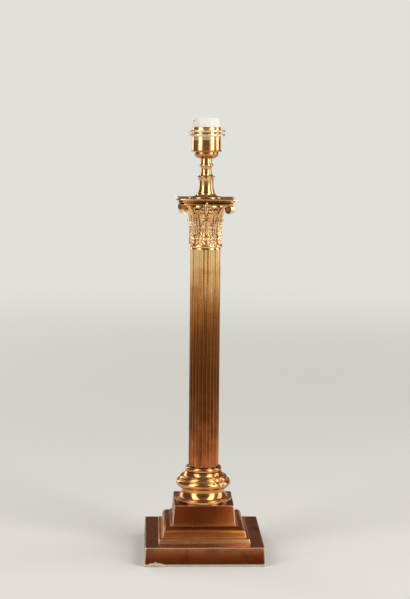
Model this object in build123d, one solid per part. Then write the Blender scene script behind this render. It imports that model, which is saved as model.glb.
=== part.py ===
from build123d import *
import math
import os

# Brass table lamp in the form of a Corinthian column on a stepped square base.
# Millimetres, +Z up, origin on the table under the middle of the base.
# The front of the lamp looks along -Y and the cable leaves along +Y.

# ---- square base ----
felt_thickness = 1.4
felt_inset = 0.6
plinth_foot_side = 121.0
plinth_batter = 0.9
plinth_height = 18.2
plinth_wall = 2.5
plinth_edge = 0.6
cover_thickness = 1.5
cover_gap = 0.3
boss_radius = 4.5
boss_from_wall = 5.5
weight_side = 92.0
weight_height = 9.0
weight_well_radius = 18.0
weight_corner_cut = 12.0
cable_slot_width = 9.0

# ---- screws and fittings of the base ----
cover_screw_radius = 1.75
cover_screw_head_radius = 3.2
cover_screw_head_height = 1.3
cover_screw_length = 9.0
screw_hole_gap = 0.1
screw_hole_spare = 1.0
grommet_bore_radius = 3.4
grommet_radius = 4.6
grommet_flange_radius = 6.0
grommet_flange_thickness = 1.0
grommet_lip = 0.8
grommet_height = 8.4
grommet_fit = 0.05
earth_place = 26.0
earth_boss_radius = 4.0
earth_boss_drop = 2.0
earth_screw_radius = 2.0
earth_shank_length = 3.6
earth_head_radius = 3.4
earth_head_height = 2.0
earth_head_edge = 0.4
earth_tag_thickness = 0.6
earth_tag_tail_length = 5.0
earth_tag_tail_width = 2.4

# ---- stepped pedestal ----
step_side = 92.2
step_height = 4.0
cyma_toe_side = 86.6
cyma_toe_height = 1.2
cyma_side = 84.0
cyma_band_side = 83.2
cyma_band_height = 3.4
cyma_swell_side = 73.2
cyma_swell_height = 5.0
cyma_swell = 1.2
cyma_neck_side = 66.6
cyma_hollow_height = 2.0
cyma_hollow = 0.5
die_bead_side = 64.2
die_bead_height = 0.9
die_foot_side = 63.4
die_top_side = 60.1
die_height = 18.4
pedestal_wall = 3.0

# ---- round base of the column ----
flange_radius = 29.0
flange_height = 2.7
flange_edge = 0.8
fillet_height = 0.9
foot_fillet_radius = 27.0
scotia_foot_radius = 25.6
scotia_head_radius = 22.0
scotia_height = 8.4
scotia_hollow = 3.7
waist_fillet_radius = 23.0
torus_foot_radius = 24.1
torus_head_radius = 26.1
torus_height = 9.7
torus_swell = 3.6
shoulder_fillet_radius = 25.4
ovolo_foot_radius = 24.6
ovolo_belly_radius = 24.2
ovolo_head_radius = 22.4
ovolo_height = 3.1
collar_fillet_radius = 21.6
cavetto_foot_radius = 20.6
cavetto_head_radius = 18.1
cavetto_height = 2.3
collar_root_radius = 17.2
collar_bead_radius = 18.9
collar_bead_height = 4.7
round_base_cavity_radius = 15.0
round_base_web = 4.0

# ---- fluted column ----
column_radius = 15.4
column_bore_radius = 13.3
column_length = 231.4
flute_count = 24
flute_width = 3.2
flute_depth = 0.9
base_socket_depth = 4.0
capital_socket_depth = 2.6
socket_fit = 0.05
bush_height = 6.0
bush_nose = 0.6

# ---- capital ----
capital_height = 48.3
astragal_radius = 17.1
astragal_height = 3.2
bell_radius = 14.8
bell_drum_height = 18.0
bell_lip_radius = 20.6
bell_lip_height = 3.0
bell_throat_radius = 15.8
bell_throat_height = 12.0
capital_bore_radius = 10.5
capital_web = 3.0
leaf_count = 8
leaf_thickness = 1.8
leaf_rib_width = 1.7
leaf_rib_height = 0.6
lower_leaf_height = 10.5
lower_leaf_width = 11.6
lower_leaf_curl = 0.8
lower_leaf_lobes = 2
upper_leaf_height = 23.5
upper_leaf_width = 12.4
upper_leaf_curl = 2.0
upper_leaf_lobes = 3
volute_radius = 4.6
volute_thickness = 6.4
volute_reach = 36.4
scroll_bow = 0.16
scroll_groove_depth = 0.6
helix_radius = 2.7
helix_spread = 10.0
helix_depth = 2.2
fleuron_radius = 5.6
fleuron_petals = 6
fleuron_drop = 1.0
fleuron_projection = 1.6
abacus_height = 5.1
abacus_side = 56.0
abacus_hollow = 4.0
abacus_horn = 4.2
abacus_flare = 2.2
abacus_band_height = 2.5
abacus_plate_side = 60.4
abacus_plate_thickness = 1.3

# ---- neck between capital and lampholder ----
neck_flange_radius = 17.3
neck_flange_height = 1.2
neck_flange_edge = 0.3
neck_flare_radius = 12.5
neck_flare_rise = 0.4
neck_cove_radius = 9.4
neck_cove_rise = 1.1
neck_foot_radius = 8.1
neck_foot_height = 1.9
neck_shaft_radius = 7.5
neck_shaft_height = 6.4
neck_swell_radius = 8.1
neck_swell_height = 8.5
neck_ring_radius = 9.3
neck_ring_rise = 1.1
neck_ring_edge = 0.6
neck_throat_cove_radius = 7.0
neck_throat_cove_rise = 1.4
neck_throat_radius = 6.1
neck_throat_height = 2.9
neck_waist_radius = 5.6
neck_waist_height = 3.4
neck_bead_root = 6.0
neck_bead_rise = 2.4
neck_bead_radius = 7.2
neck_bead_height = 3.0
neck_collar_radius = 5.8
neck_collar_height = 5.2
neck_wire_bore_radius = 3.4
neck_tapped_depth = 14.0
nipple_length = 7.5
nipple_chamfer = 0.5

# ---- tie tube and its fastenings ----
thread_radius = 5.0
tie_tube_bore_radius = 4.0
tie_clearance = 0.15
thread_seat = 0.03
washer_radius = 15.0
washer_thickness = 1.5
lock_washer_radius = 8.5
lock_washer_thickness = 0.7
lock_washer_split = 0.8
nut_across_flats = 14.0
nut_height = 3.0
tie_tube_tail = 1.2

# ---- lampholder ----
cap_dome_height = 6.5
cap_dome_radius = 12.1
cap_dome_swell = 1.2
cap_wall = 1.4
cap_floor = 3.4
cap_bead_radius = 15.3
cap_bead_height = 1.8
cap_bead_edge = 0.5
cap_spigot_height = 2.2
cap_spigot_wall = 1.5
cap_boss_radius = 8.0
grub_screw_radius = 1.5
grub_screw_drop = 1.6
shell_radius = 14.45
shell_bore_radius = 13.4
shell_height = 22.9
shell_plain_height = 7.8
shell_edge = 0.4
thread_relief = 0.35
thread_relief_height = 1.2
insert_projection = 9.2
insert_radius = 13.65
insert_skirt_fit = 0.1
insert_skirt_overlap = 8.1
insert_edge = 0.5
bulb_bore_radius = 11.3
bulb_bore_depth = 12.0
bulb_bore_relief = 0.5
bayonet_slot_width = 2.8
bayonet_slot_depth = 6.8
bayonet_turn = 22.0
bayonet_hook = 1.4
shade_ring_radius = 18.85
shade_ring_thickness = 2.2
shade_ring_edge = 0.6
shade_ring_fit = 0.05
upper_ring_below_rim = 2.9
shade_gap = 1.7

# ---- terminal block and contacts ----
block_radius = 12.1
block_height = 11.1
block_gap = 0.1
block_web = 1.6
barrier_width = 1.4
contact_spacing = 11.0
plunger_radius = 1.9
plunger_flange_radius = 2.35
plunger_flange_height = 1.2
plunger_projection = 6.5
plunger_nose = 0.6
plunger_travel = 3.5
plunger_fit = 0.06
spring_wire = 0.4
spring_closed_height = 1.6
spring_clearance = 0.15
barrel_radius = 3.0
barrel_fit = 0.03
barrel_bore_radius = 2.45
wire_clamp_height = 3.1
wire_way_radius = 1.2
wire_way_height = 2.6
terminal_screw_radius = 1.2
terminal_shank_length = 2.3
terminal_head_radius = 2.0
terminal_head_height = 1.5
driver_slot_width = 0.6
driver_slot_depth = 0.7

# ---- allowance by which cutting tools run past a surface ----
overrun = 1.0

# ---- heights of the joints between the pieces, counted from the table ----
plinth_bottom = felt_thickness
plinth_top = plinth_bottom + plinth_height
plinth_ceiling = plinth_top - plinth_wall
cover_top = plinth_bottom + cover_thickness
earth_boss_bottom = plinth_ceiling - earth_boss_drop
step_top = plinth_top + step_height
cyma_height = cyma_toe_height + cyma_band_height + cyma_swell_height + cyma_hollow_height
cyma_top = step_top + cyma_height
pedestal_top = cyma_top + die_bead_height + die_height
round_base_top = (
    pedestal_top + flange_height + scotia_height + torus_height + ovolo_height + cavetto_height
    + collar_bead_height + 4 * fillet_height
)
column_bottom = round_base_top - base_socket_depth
column_top = column_bottom + column_length
capital_bottom = column_top - capital_socket_depth
leaf_foot = capital_bottom + astragal_height
capital_top = capital_bottom + capital_height
abacus_bottom = capital_top - abacus_height
bell_lip_bottom = abacus_bottom - bell_lip_height
neck_bottom = capital_top + abacus_plate_thickness
neck_top = neck_bottom + (
    neck_flange_height + neck_flare_rise + neck_cove_rise + neck_foot_height + neck_shaft_height
    + neck_swell_height + neck_ring_rise + neck_ring_edge + neck_throat_cove_rise + neck_throat_height
    + neck_waist_height + neck_bead_rise + neck_bead_height + neck_collar_height
)
cap_rim = neck_top + cap_dome_height
cap_top = cap_rim + cap_bead_height
shell_top = cap_top + shell_height
lamp_top = shell_top + insert_projection
grub_screw_z = cap_rim - grub_screw_drop
upper_ring_bottom = shell_top - upper_ring_below_rim - shade_ring_thickness
lower_ring_bottom = upper_ring_bottom - shade_gap - shade_ring_thickness
block_bottom = cap_top + cap_spigot_height
block_top = block_bottom + block_height
barrel_top = block_top - block_web
plunger_flange_bottom = barrel_top - plunger_flange_height
spring_bottom = plunger_flange_bottom - plunger_travel - spring_closed_height
barrel_bottom = spring_bottom - wire_clamp_height
terminal_z = barrel_bottom + wire_clamp_height / 2
nut_bottom = plinth_ceiling - washer_thickness - lock_washer_thickness - nut_height
tie_tube_bottom = nut_bottom - tie_tube_tail

# ---- sizes that several pieces share ----
tie_hole_radius = thread_radius + tie_clearance
tapped_radius = thread_radius + thread_seat
plinth_lean = plinth_batter / plinth_height
contact_places = [Pos(0, side * contact_spacing / 2, 0) for side in (-1, 1)]
standing = (Align.CENTER, Align.CENTER, Align.MIN)
hanging = (Align.CENTER, Align.CENTER, Align.MAX)


def outline(*points):
    """Closed face through points (x, y) or (x, y, bulge).

    A bulge is the sagitta of the edge that arrives at the point, to the left of travel.
    """
    edges = []
    for start, end in zip(points[-1:] + points[:-1], points):
        if len(end) == 3:
            edges.append(SagittaArc(start[:2], end[:2], end[2]))
        else:
            edges.append(Line(start[:2], end[:2]))
    return make_face(Curve() + edges)


def rising(bottom, *steps):
    """Outline points from steps (width, rise) or (width, rise, bulge), counted up from a height."""
    points = []
    height = bottom
    for width, rise, *bulge in steps:
        height += rise
        points.append((width, height, *bulge))
    return points


def turned(*points):
    """Solid of revolution about Z from an outline in radius and height."""
    return revolve(Plane.XZ * outline(*points), Axis.Z)


def disc(radius, bottom, height):
    return Pos(0, 0, bottom) * Cylinder(radius, height, align=standing)


def washer(radius, bore_radius, bottom, height):
    return disc(radius, bottom, height) - disc(bore_radius, bottom, height)


def both_halves(*half_points):
    """Face made of one half outline and its mirror image on the other side of the upright axis."""
    half = outline(*half_points)
    return half + mirror(half, Plane.YZ)


def square_moulding(*half_points):
    """Block whose four sides all follow one outline of half width and height, mitred at the corners."""
    widest = max(point[0] for point in half_points)
    bar = extrude(Plane.XZ * both_halves(*half_points), widest + overrun, both=True)
    return bar & (Rot(0, 0, 90) * bar)


def around(shape, count, first=0.0):
    """Copies of a shape turned about the lamp's axis at equal steps."""
    return [Rot(0, 0, first + 360 / count * i) * shape for i in range(count)]


# ---------------------------------------------------------------- square base

def plinth_half_side(height):
    """Half width of the plinth's outside at a height above its foot."""
    return plinth_foot_side / 2 - plinth_lean * height


def cavity_half_side(height):
    """Half width of the plinth's cavity at a height above its foot."""
    return plinth_half_side(height) - plinth_wall


def at_bosses(shape):
    """One copy of a shape at each of the four screw bosses."""
    place = cavity_half_side(0) - boss_from_wall
    return [Pos(x, y, 0) * shape for x in (-place, place) for y in (-place, place)]


def square_plate(side, bottom, height):
    return Pos(0, 0, bottom) * Box(side, side, height, align=standing)


def felt_pad():
    return square_plate(plinth_foot_side - 2 * felt_inset, 0, felt_thickness)


def base_cover():
    """Plate that closes the plinth from below, with four countersunk holes."""
    side = 2 * (cavity_half_side(cover_thickness) - cover_gap)
    head = cover_screw_head_radius + screw_hole_gap
    shank = cover_screw_radius + screw_hole_gap
    hole = turned(*rising(
        plinth_bottom, (0, 0), (head, 0), (shank, cover_screw_head_height),
        (shank, cover_thickness - cover_screw_head_height), (0, 0),
    ))
    return square_plate(side, plinth_bottom, cover_thickness) - at_bosses(hole)


def cover_screws():
    screw = turned(*rising(
        plinth_bottom, (0, 0), (cover_screw_head_radius, 0), (cover_screw_radius, cover_screw_head_height),
        (cover_screw_radius, cover_screw_length - cover_screw_head_height), (0, 0),
    ))
    return Compound(at_bosses(screw))


def base_weight():
    """Iron plate with a well round the clamping nut and a slot that lets the cable in from the back."""
    half = weight_side / 2
    cut = half - weight_corner_cut
    plan = outline(
        (-cut, -half), (cut, -half), (half, -cut), (half, cut),
        (cut, half), (-cut, half), (-half, cut), (-half, -cut),
    )
    slot = Pos(0, half / 2, 0) * Rectangle(cable_slot_width, half + overrun)
    plan = plan - Circle(weight_well_radius) - slot
    return Pos(0, 0, cover_top) * extrude(plan, weight_height)


def at_earth(shape):
    return Pos(-earth_place, earth_place, 0) * shape


def across_back_wall(shape):
    """Turn a shape made along +Z so that it runs out through the plinth's back wall."""
    return Pos(0, 0, grommet_height) * Rot(-90, 0, 0) * shape


def plinth():
    """Cast slab, open below, with four screw bosses, an earth boss and the cable's hole."""
    top = plinth_foot_side / 2 - plinth_batter
    shell = square_moulding(
        (0, plinth_bottom), (plinth_foot_side / 2, plinth_bottom), (top, plinth_top - plinth_edge),
        (top - plinth_edge, plinth_top), (0, plinth_top),
    )
    cavity = square_moulding(
        (0, plinth_bottom), (cavity_half_side(0), plinth_bottom),
        (cavity_half_side(plinth_height - plinth_wall), plinth_ceiling), (0, plinth_ceiling),
    )
    boss = disc(boss_radius, cover_top, plinth_ceiling - cover_top + plinth_wall / 2)
    tapped = disc(cover_screw_radius, cover_top, cover_screw_length - cover_thickness + screw_hole_spare)
    earth_boss = disc(earth_boss_radius, earth_boss_bottom, earth_boss_drop + plinth_wall / 2)
    earth_depth = earth_shank_length - earth_tag_thickness + screw_hole_gap
    earth_hole = disc(earth_screw_radius, earth_boss_bottom, earth_depth)
    cable_hole = disc(grommet_radius + grommet_fit, 0, plinth_foot_side)
    recess = disc(grommet_flange_radius + grommet_fit, flange_seat(), plinth_wall)
    casting = shell - cavity + at_bosses(boss) + at_earth(earth_boss)
    casting = casting - at_bosses(tapped) - at_earth(earth_hole)
    casting = casting - across_back_wall(cable_hole) - across_back_wall(recess)
    return casting - disc(tie_hole_radius, plinth_ceiling, plinth_wall)


def flange_seat():
    """Distance from the axis to the floor of the recess that takes the grommet's flange."""
    face = plinth_half_side(grommet_height - plinth_bottom + grommet_flange_radius)
    return face - grommet_flange_thickness


def cable_grommet():
    """Bush through the plinth's back wall, its flange let in flush and a small lip inside."""
    seat = flange_seat()
    inside = cavity_half_side(grommet_height - plinth_bottom + grommet_radius + grommet_lip) - grommet_fit
    bush = turned(*rising(
        inside - grommet_lip, (grommet_bore_radius, 0), (grommet_radius, 0),
        (grommet_radius + grommet_lip, grommet_lip), (grommet_radius, 0),
        (grommet_radius, seat - inside), (grommet_flange_radius, 0),
        (grommet_flange_radius, grommet_flange_thickness), (grommet_bore_radius, 0),
    ))
    return across_back_wall(bush)


def earth_screw():
    """Slotted pan-head screw that clamps the earth tag under its boss."""
    head_bottom = earth_boss_bottom - earth_tag_thickness - earth_head_height
    screw = turned(*rising(
        head_bottom, (0, 0), (earth_head_radius - earth_head_edge, 0), (earth_head_radius, earth_head_edge),
        (earth_head_radius, earth_head_height - earth_head_edge), (earth_screw_radius - thread_seat, 0),
        (earth_screw_radius - thread_seat, earth_shank_length), (0, 0),
    ))
    slot = Box(2 * earth_head_radius, driver_slot_width, driver_slot_depth, align=standing)
    return at_earth(screw - Pos(0, 0, head_bottom) * slot)


def earth_tag():
    """Ring terminal under the earth screw, with its tail pointing to the well."""
    tail = Rectangle(earth_tag_tail_length + earth_head_radius, earth_tag_tail_width, align=Align.MIN)
    ring = Circle(earth_head_radius) + Pos(0, -earth_tag_tail_width / 2) * tail
    ring = ring - Circle(earth_screw_radius + screw_hole_gap)
    tag = Rot(0, 0, -45) * extrude(ring, earth_tag_thickness)
    return at_earth(Pos(0, 0, earth_boss_bottom - earth_tag_thickness) * tag)


# ------------------------------------------------------------------- pedestal

def pedestal():
    """Square casting: a step, a cyma moulding and a tapering die, hollow from below."""
    shell = square_moulding(*rising(
        plinth_top,
        (0, 0), (step_side / 2, 0), (step_side / 2, step_height),
        (cyma_toe_side / 2, 0), (cyma_side / 2, cyma_toe_height),
        (cyma_band_side / 2, cyma_band_height), (cyma_swell_side / 2, cyma_swell_height, -cyma_swell),
        (cyma_neck_side / 2, cyma_hollow_height, cyma_hollow),
        (die_bead_side / 2, 0), (die_bead_side / 2, die_bead_height),
        (die_foot_side / 2, 0), (die_top_side / 2, die_height), (0, 0),
    ))
    low = cyma_side / 2 - pedestal_wall
    cavity = square_moulding(
        (0, plinth_top), (low, plinth_top), (low, step_top), (die_foot_side / 2 - pedestal_wall, cyma_top),
        (die_top_side / 2 - pedestal_wall, pedestal_top - pedestal_wall), (0, pedestal_top - pedestal_wall),
    )
    return shell - cavity - disc(tie_hole_radius, pedestal_top - pedestal_wall, pedestal_wall)


# ----------------------------------------------------------------- round base

def round_base():
    """Turned base of the column: flange, scotia, torus, ovolo, cavetto and bead with thin fillets between."""
    outside = rising(
        pedestal_top,
        (round_base_cavity_radius, 0), (flange_radius - flange_edge, 0), (flange_radius, flange_edge),
        (flange_radius, flange_height - 2 * flange_edge), (flange_radius - flange_edge, flange_edge),
        (foot_fillet_radius, 0), (foot_fillet_radius, fillet_height),
        (scotia_foot_radius, 0), (scotia_head_radius, scotia_height, scotia_hollow),
        (waist_fillet_radius, 0), (waist_fillet_radius, fillet_height),
        (torus_foot_radius, 0), (torus_head_radius, torus_height, -torus_swell),
        (shoulder_fillet_radius, 0), (shoulder_fillet_radius, fillet_height),
        (ovolo_foot_radius, 0), (ovolo_belly_radius, ovolo_height / 2), (ovolo_head_radius, ovolo_height / 2),
        (collar_fillet_radius, 0), (collar_fillet_radius, fillet_height),
        (cavetto_foot_radius, 0), (cavetto_head_radius, cavetto_height),
        (collar_root_radius, 0), (collar_bead_radius, collar_bead_height / 4),
        (collar_bead_radius, collar_bead_height / 2), (collar_root_radius, collar_bead_height / 4),
    )
    socket = column_radius + socket_fit
    cavity_top = column_bottom - round_base_web
    return turned(
        *outside, (socket, round_base_top), (socket, column_bottom), (tie_hole_radius, column_bottom),
        (tie_hole_radius, cavity_top), (round_base_cavity_radius, cavity_top),
    )


# --------------------------------------------------------------------- column

def column():
    """Drawn tube with round-bottomed flutes along its whole length."""
    flute_radius = (flute_width ** 2 / 4 + flute_depth ** 2) / (2 * flute_depth)
    rim = math.sqrt(column_radius ** 2 - flute_width ** 2 / 4)
    flute = Pos(rim - flute_depth + flute_radius, 0) * Circle(flute_radius)
    ring = Circle(column_radius) - Circle(column_bore_radius)
    return Pos(0, 0, column_bottom) * extrude(ring - around(flute, flute_count), column_length)


def column_bush(bottom):
    """Turned plug with eased ends that centres the column on the tie tube."""
    radius = column_bore_radius - socket_fit
    return turned(*rising(
        bottom, (tie_hole_radius, 0), (radius - bush_nose, 0), (radius, bush_nose),
        (radius, bush_height - 2 * bush_nose), (radius - bush_nose, bush_nose), (tie_hole_radius, 0),
    ))


# -------------------------------------------------------------------- capital

def leaf_plan(width, height, lobes):
    """Outline of an acanthus leaf seen flat: a straight foot, lobes up each side and a blunt tip."""
    bare_foot = 0.12 * height
    lobe_rise = 0.62 * height / lobes
    side = [(0, 0), (0.36 * width, 0)]
    for i in range(lobes):
        spread = width / 2 * math.sqrt(1 - 0.72 * (i / lobes) ** 2)
        foot = bare_foot + i * lobe_rise
        side.append((0.82 * spread, foot))
        side.append((spread, foot + 0.45 * lobe_rise))
        side.append((0.90 * spread, foot + 0.85 * lobe_rise))
    side.append((0.24 * width, 0.80 * height))
    side.append((0.15 * width, height))
    side.append((0, height))
    return both_halves(*side)


def leaf_side(height, curl, raised):
    """Side view of a leaf: it stands on the bell, leans out and rolls over at its tip."""
    root = bell_radius - leaf_thickness / 2
    face = bell_radius + leaf_thickness + raised
    top = leaf_foot + height + raised / 2
    return outline(
        (root, leaf_foot), (face - curl / 4, leaf_foot), (face, top - height * 0.45),
        (face + curl * 0.7, top - curl * 1.1), (face + curl, top - curl * 0.6),
        (face + curl * 0.8, top), (face, top), (root, top - height * 0.3),
    )


def leaf(width, height, curl, lobes):
    """One leaf with its middle rib on the +X side, each where its side view crosses its plan."""
    reach = bell_radius + leaf_thickness + curl + leaf_rib_height + overrun
    rib_plan = both_halves((0, 0), (leaf_rib_width / 2, 0), (leaf_rib_width / 4, height), (0, height))
    parts = []
    for plan, raised in ((leaf_plan(width, height, lobes), 0), (rib_plan, leaf_rib_height)):
        side = extrude(Plane.XZ * leaf_side(height, curl, raised), width, both=True)
        parts.append(side & extrude(Plane.YZ * (Pos(0, leaf_foot) * plan), reach))
    return parts[0] + parts[1]


def bell():
    """Turned core of the capital: astragal, drum and flaring lip."""
    edge = astragal_height / 4
    lip_edge = bell_lip_height / 4
    flare_height = bell_lip_bottom - leaf_foot - bell_drum_height - bell_throat_height
    return turned(*rising(
        capital_bottom,
        (0, 0), (astragal_radius - edge, 0), (astragal_radius, edge), (astragal_radius, 2 * edge),
        (astragal_radius - edge, edge), (bell_radius, 0), (bell_radius, bell_drum_height),
        (bell_throat_radius, bell_throat_height), (bell_lip_radius - lip_edge, flare_height),
        (bell_lip_radius, lip_edge),
        (bell_lip_radius, 2 * lip_edge), (bell_lip_radius - lip_edge, lip_edge), (0, 0),
    ))


def abacus_plan(side, hollow, horn):
    """Square with hollow sides and cut corners."""
    far = side / 2
    near = far - horn
    return outline(
        (-near, -far), (near, -far, hollow), (far, -near), (far, near, hollow),
        (near, far), (-near, far, hollow), (-far, near), (-far, -near, hollow),
    )


def abacus():
    """Top member of the capital: a flare under an upright band."""
    band_bottom = capital_top - abacus_band_height
    foot = abacus_plan(abacus_side - 2 * abacus_flare, abacus_hollow, abacus_horn)
    full = abacus_plan(abacus_side, abacus_hollow, abacus_horn)
    flare = loft([Pos(0, 0, abacus_bottom) * foot, Pos(0, 0, band_bottom) * full], ruled=True)
    return flare + Pos(0, 0, band_bottom) * extrude(full, abacus_band_height)


def scroll(radius, foot, width, thickness):
    """Flat scroll: a rolled end centred at the origin and a bowed stalk that climbs to it from foot."""
    x, y = foot
    bow = math.hypot(x, y) * scroll_bow
    stalk = outline(
        (x, y, -bow), (x + width, y), (-0.2 * radius, -0.3 * radius, 0.85 * bow), (0, radius),
    )
    body = extrude(stalk, thickness / 2, both=True) + extrude(Circle(radius), thickness / 2, both=True)
    channel = extrude(Circle(0.80 * radius) - Circle(0.44 * radius), scroll_groove_depth, both=True)
    return body - [Pos(0, 0, side * thickness / 2) * channel for side in (-1, 1)]


def corner_volute():
    """Scroll under one horn of the abacus, standing in the upright plane through the corner."""
    centre_z = abacus_bottom - 0.9 * volute_radius
    centre = volute_reach - volute_radius
    foot = (bell_radius - centre, leaf_foot + 0.75 * upper_leaf_height - centre_z)
    flat = scroll(volute_radius, foot, 0.8 * volute_radius, volute_thickness)
    return Rot(0, 0, 45) * Pos(centre, 0, centre_z) * Rot(90, 0, 0) * flat


def inner_helices():
    """The pair of small scrolls that hug the bell and curl towards the middle of the +X face."""
    centre_z = bell_lip_bottom - 0.7 * helix_radius
    foot = (-1.4 * helix_radius, leaf_foot + 0.85 * upper_leaf_height - centre_z)
    flat = scroll(helix_radius, foot, 0.6 * helix_radius, 2 * bell_lip_radius)
    skin = outline(
        (bell_radius - overrun, leaf_foot), (bell_radius + helix_depth, leaf_foot),
        (bell_radius + helix_depth, leaf_foot + bell_drum_height),
        (bell_lip_radius + helix_depth / 2, abacus_bottom), (bell_radius - overrun, abacus_bottom),
    )
    skin = extrude(Plane.XZ * skin, bell_lip_radius, both=True)
    one = skin & (Pos(bell_lip_radius, -helix_spread / 2, centre_z) * (Plane.YZ * flat))
    return [one, mirror(one, Plane.XZ)]


def fleuron():
    """Flower at the middle of the +X side of the abacus, rooted in the bell's lip."""
    root = bell_lip_radius - overrun
    depth = abacus_side / 2 - abacus_hollow + fleuron_projection - root
    petal_radius = 0.36 * fleuron_radius
    petal = Pos(fleuron_radius - petal_radius, 0) * Circle(petal_radius)
    flower = extrude(Circle(0.55 * fleuron_radius) + around(petal, fleuron_petals, 90), depth)
    eye = extrude(Circle(0.26 * fleuron_radius), depth + fleuron_projection / 2)
    return Pos(root, 0, capital_top - fleuron_radius - fleuron_drop) * (Plane.YZ * (flower + eye))


def capital():
    """One casting: bell, two rows of acanthus, corner volutes, inner helices, abacus and fleurons."""
    lower = leaf(lower_leaf_width, lower_leaf_height, lower_leaf_curl, lower_leaf_lobes)
    upper = leaf(upper_leaf_width, upper_leaf_height, upper_leaf_curl, upper_leaf_lobes)
    casting = bell() + abacus()
    casting = casting + around(upper, leaf_count) + around(lower, leaf_count, 180 / leaf_count)
    for ornament in (corner_volute(), fleuron(), *inner_helices()):
        casting = casting + around(ornament, 4)
    hollow_bottom = column_top + capital_web
    socket = disc(column_radius + socket_fit, capital_bottom, capital_socket_depth)
    hollow = disc(capital_bore_radius, hollow_bottom, capital_top - hollow_bottom)
    return casting - socket - hollow - disc(tie_hole_radius, column_top, capital_web)


def abacus_plate():
    """Thin plate that caps the capital and overhangs it a little all round."""
    plan = abacus_plan(abacus_plate_side, abacus_hollow, abacus_horn) - Circle(tie_hole_radius)
    return Pos(0, 0, capital_top) * extrude(plan, abacus_plate_thickness)


# ----------------------------------------------------- neck and its fastenings

def neck():
    """Turned nozzle: tapped below for the tie tube, with a threaded nipple on top for the lampholder."""
    nipple = thread_radius - thread_seat
    bead_edge = neck_bead_height / 3
    outside = rising(
        neck_bottom,
        (tapped_radius, 0), (neck_flange_radius, 0), (neck_flange_radius, neck_flange_height - neck_flange_edge),
        (neck_flange_radius - neck_flange_edge, neck_flange_edge), (neck_flare_radius, neck_flare_rise),
        (neck_cove_radius, neck_cove_rise), (neck_foot_radius, neck_foot_height),
        (neck_shaft_radius, neck_shaft_height),
        (neck_swell_radius, neck_swell_height), (neck_ring_radius, neck_ring_rise),
        (neck_ring_radius, neck_ring_edge), (neck_throat_cove_radius, neck_throat_cove_rise),
        (neck_throat_radius, neck_throat_height),
        (neck_waist_radius, neck_waist_height), (neck_bead_root, neck_bead_rise),
        (neck_bead_radius, bead_edge), (neck_bead_radius, bead_edge), (neck_bead_root, bead_edge),
        (neck_collar_radius, 0), (neck_collar_radius, neck_collar_height), (nipple, 0),
        (nipple, nipple_length - nipple_chamfer), (nipple - nipple_chamfer, nipple_chamfer),
        (neck_wire_bore_radius, 0),
    )
    tapped_top = neck_bottom + neck_tapped_depth
    return turned(*outside, (neck_wire_bore_radius, tapped_top), (tapped_radius, tapped_top))


def tie_tube():
    """Threaded tube that clamps the whole stack and carries the wires up the column."""
    length = neck_bottom + neck_tapped_depth - tie_tube_bottom
    return washer(thread_radius, tie_tube_bore_radius, tie_tube_bottom, length)


def bottom_washer():
    return washer(washer_radius, tie_hole_radius, plinth_ceiling - washer_thickness, washer_thickness)


def bottom_lock_washer():
    """Spring washer with a radial split."""
    bottom = nut_bottom + nut_height
    ring = washer(lock_washer_radius, tie_hole_radius, bottom, lock_washer_thickness)
    split = Box(lock_washer_radius, lock_washer_split, lock_washer_thickness, align=(Align.MIN, Align.CENTER, Align.MIN))
    return ring - Pos(0, 0, bottom) * split


def bottom_nut():
    flats = RegularPolygon(nut_across_flats / 2, 6, major_radius=False)
    return Pos(0, 0, nut_bottom) * extrude(flats - Circle(tapped_radius), nut_height)


# ----------------------------------------------------------------- lampholder

def sideways(length, radius, start):
    """Cylinder along +X from a distance off the axis, at the height of the grub screw."""
    return Pos(start, 0, grub_screw_z) * Rot(0, 90, 0) * Cylinder(radius, length, align=standing)


def lampholder_cap():
    """Domed cap with a beaded rim, an inner tapped boss and a spigot that enters the shell."""
    spigot = shell_bore_radius - socket_fit
    cap = turned(
        (tapped_radius, neck_top), (neck_collar_radius, neck_top), (cap_dome_radius, cap_rim, -cap_dome_swell),
        (cap_bead_radius - cap_bead_edge, cap_rim), (cap_bead_radius, cap_rim + cap_bead_edge),
        (cap_bead_radius, cap_top - cap_bead_edge), (cap_bead_radius - cap_bead_edge, cap_top),
        (spigot, cap_top), (spigot, block_bottom), (spigot - cap_spigot_wall, block_bottom),
        (cap_dome_radius - cap_wall, cap_rim), (cap_boss_radius, neck_top + cap_floor),
        (cap_boss_radius, neck_top + nipple_length), (tapped_radius, neck_top + nipple_length),
    )
    return cap - sideways(cap_bead_radius, grub_screw_radius, 0)


def cap_grub_screw():
    """Set screw through the dome's wall that stops the holder turning on its nipple."""
    length = cap_dome_radius - cap_wall / 2 - thread_radius
    slot = Box(driver_slot_depth, 2 * grub_screw_radius, driver_slot_width)
    screw = sideways(length, grub_screw_radius - thread_seat, thread_radius)
    return screw - Pos(thread_radius + length, 0, grub_screw_z) * slot


def lampholder_shell():
    """Brass sleeve: plain foot, relief groove and the part that carries the shade rings' thread."""
    return turned(*rising(
        cap_top,
        (shell_bore_radius, 0), (shell_radius, 0), (shell_radius, shell_plain_height),
        (shell_radius - thread_relief, 0), (shell_radius - thread_relief, thread_relief_height),
        (shell_radius, 0), (shell_radius, shell_height - shell_plain_height - thread_relief_height - shell_edge),
        (shell_radius - shell_edge, shell_edge), (shell_bore_radius, 0),
    ))


def slot_leg(turn, bottom, top):
    """Upright cutter through the insert's wall, turned from the +X side."""
    reach = insert_radius - bulb_bore_radius + 2 * overrun
    leg = Box(reach, bayonet_slot_width, top - bottom, align=(Align.MIN, Align.CENTER, Align.MIN))
    return Rot(0, 0, turn) * Pos(bulb_bore_radius - overrun, 0, bottom) * leg


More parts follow.
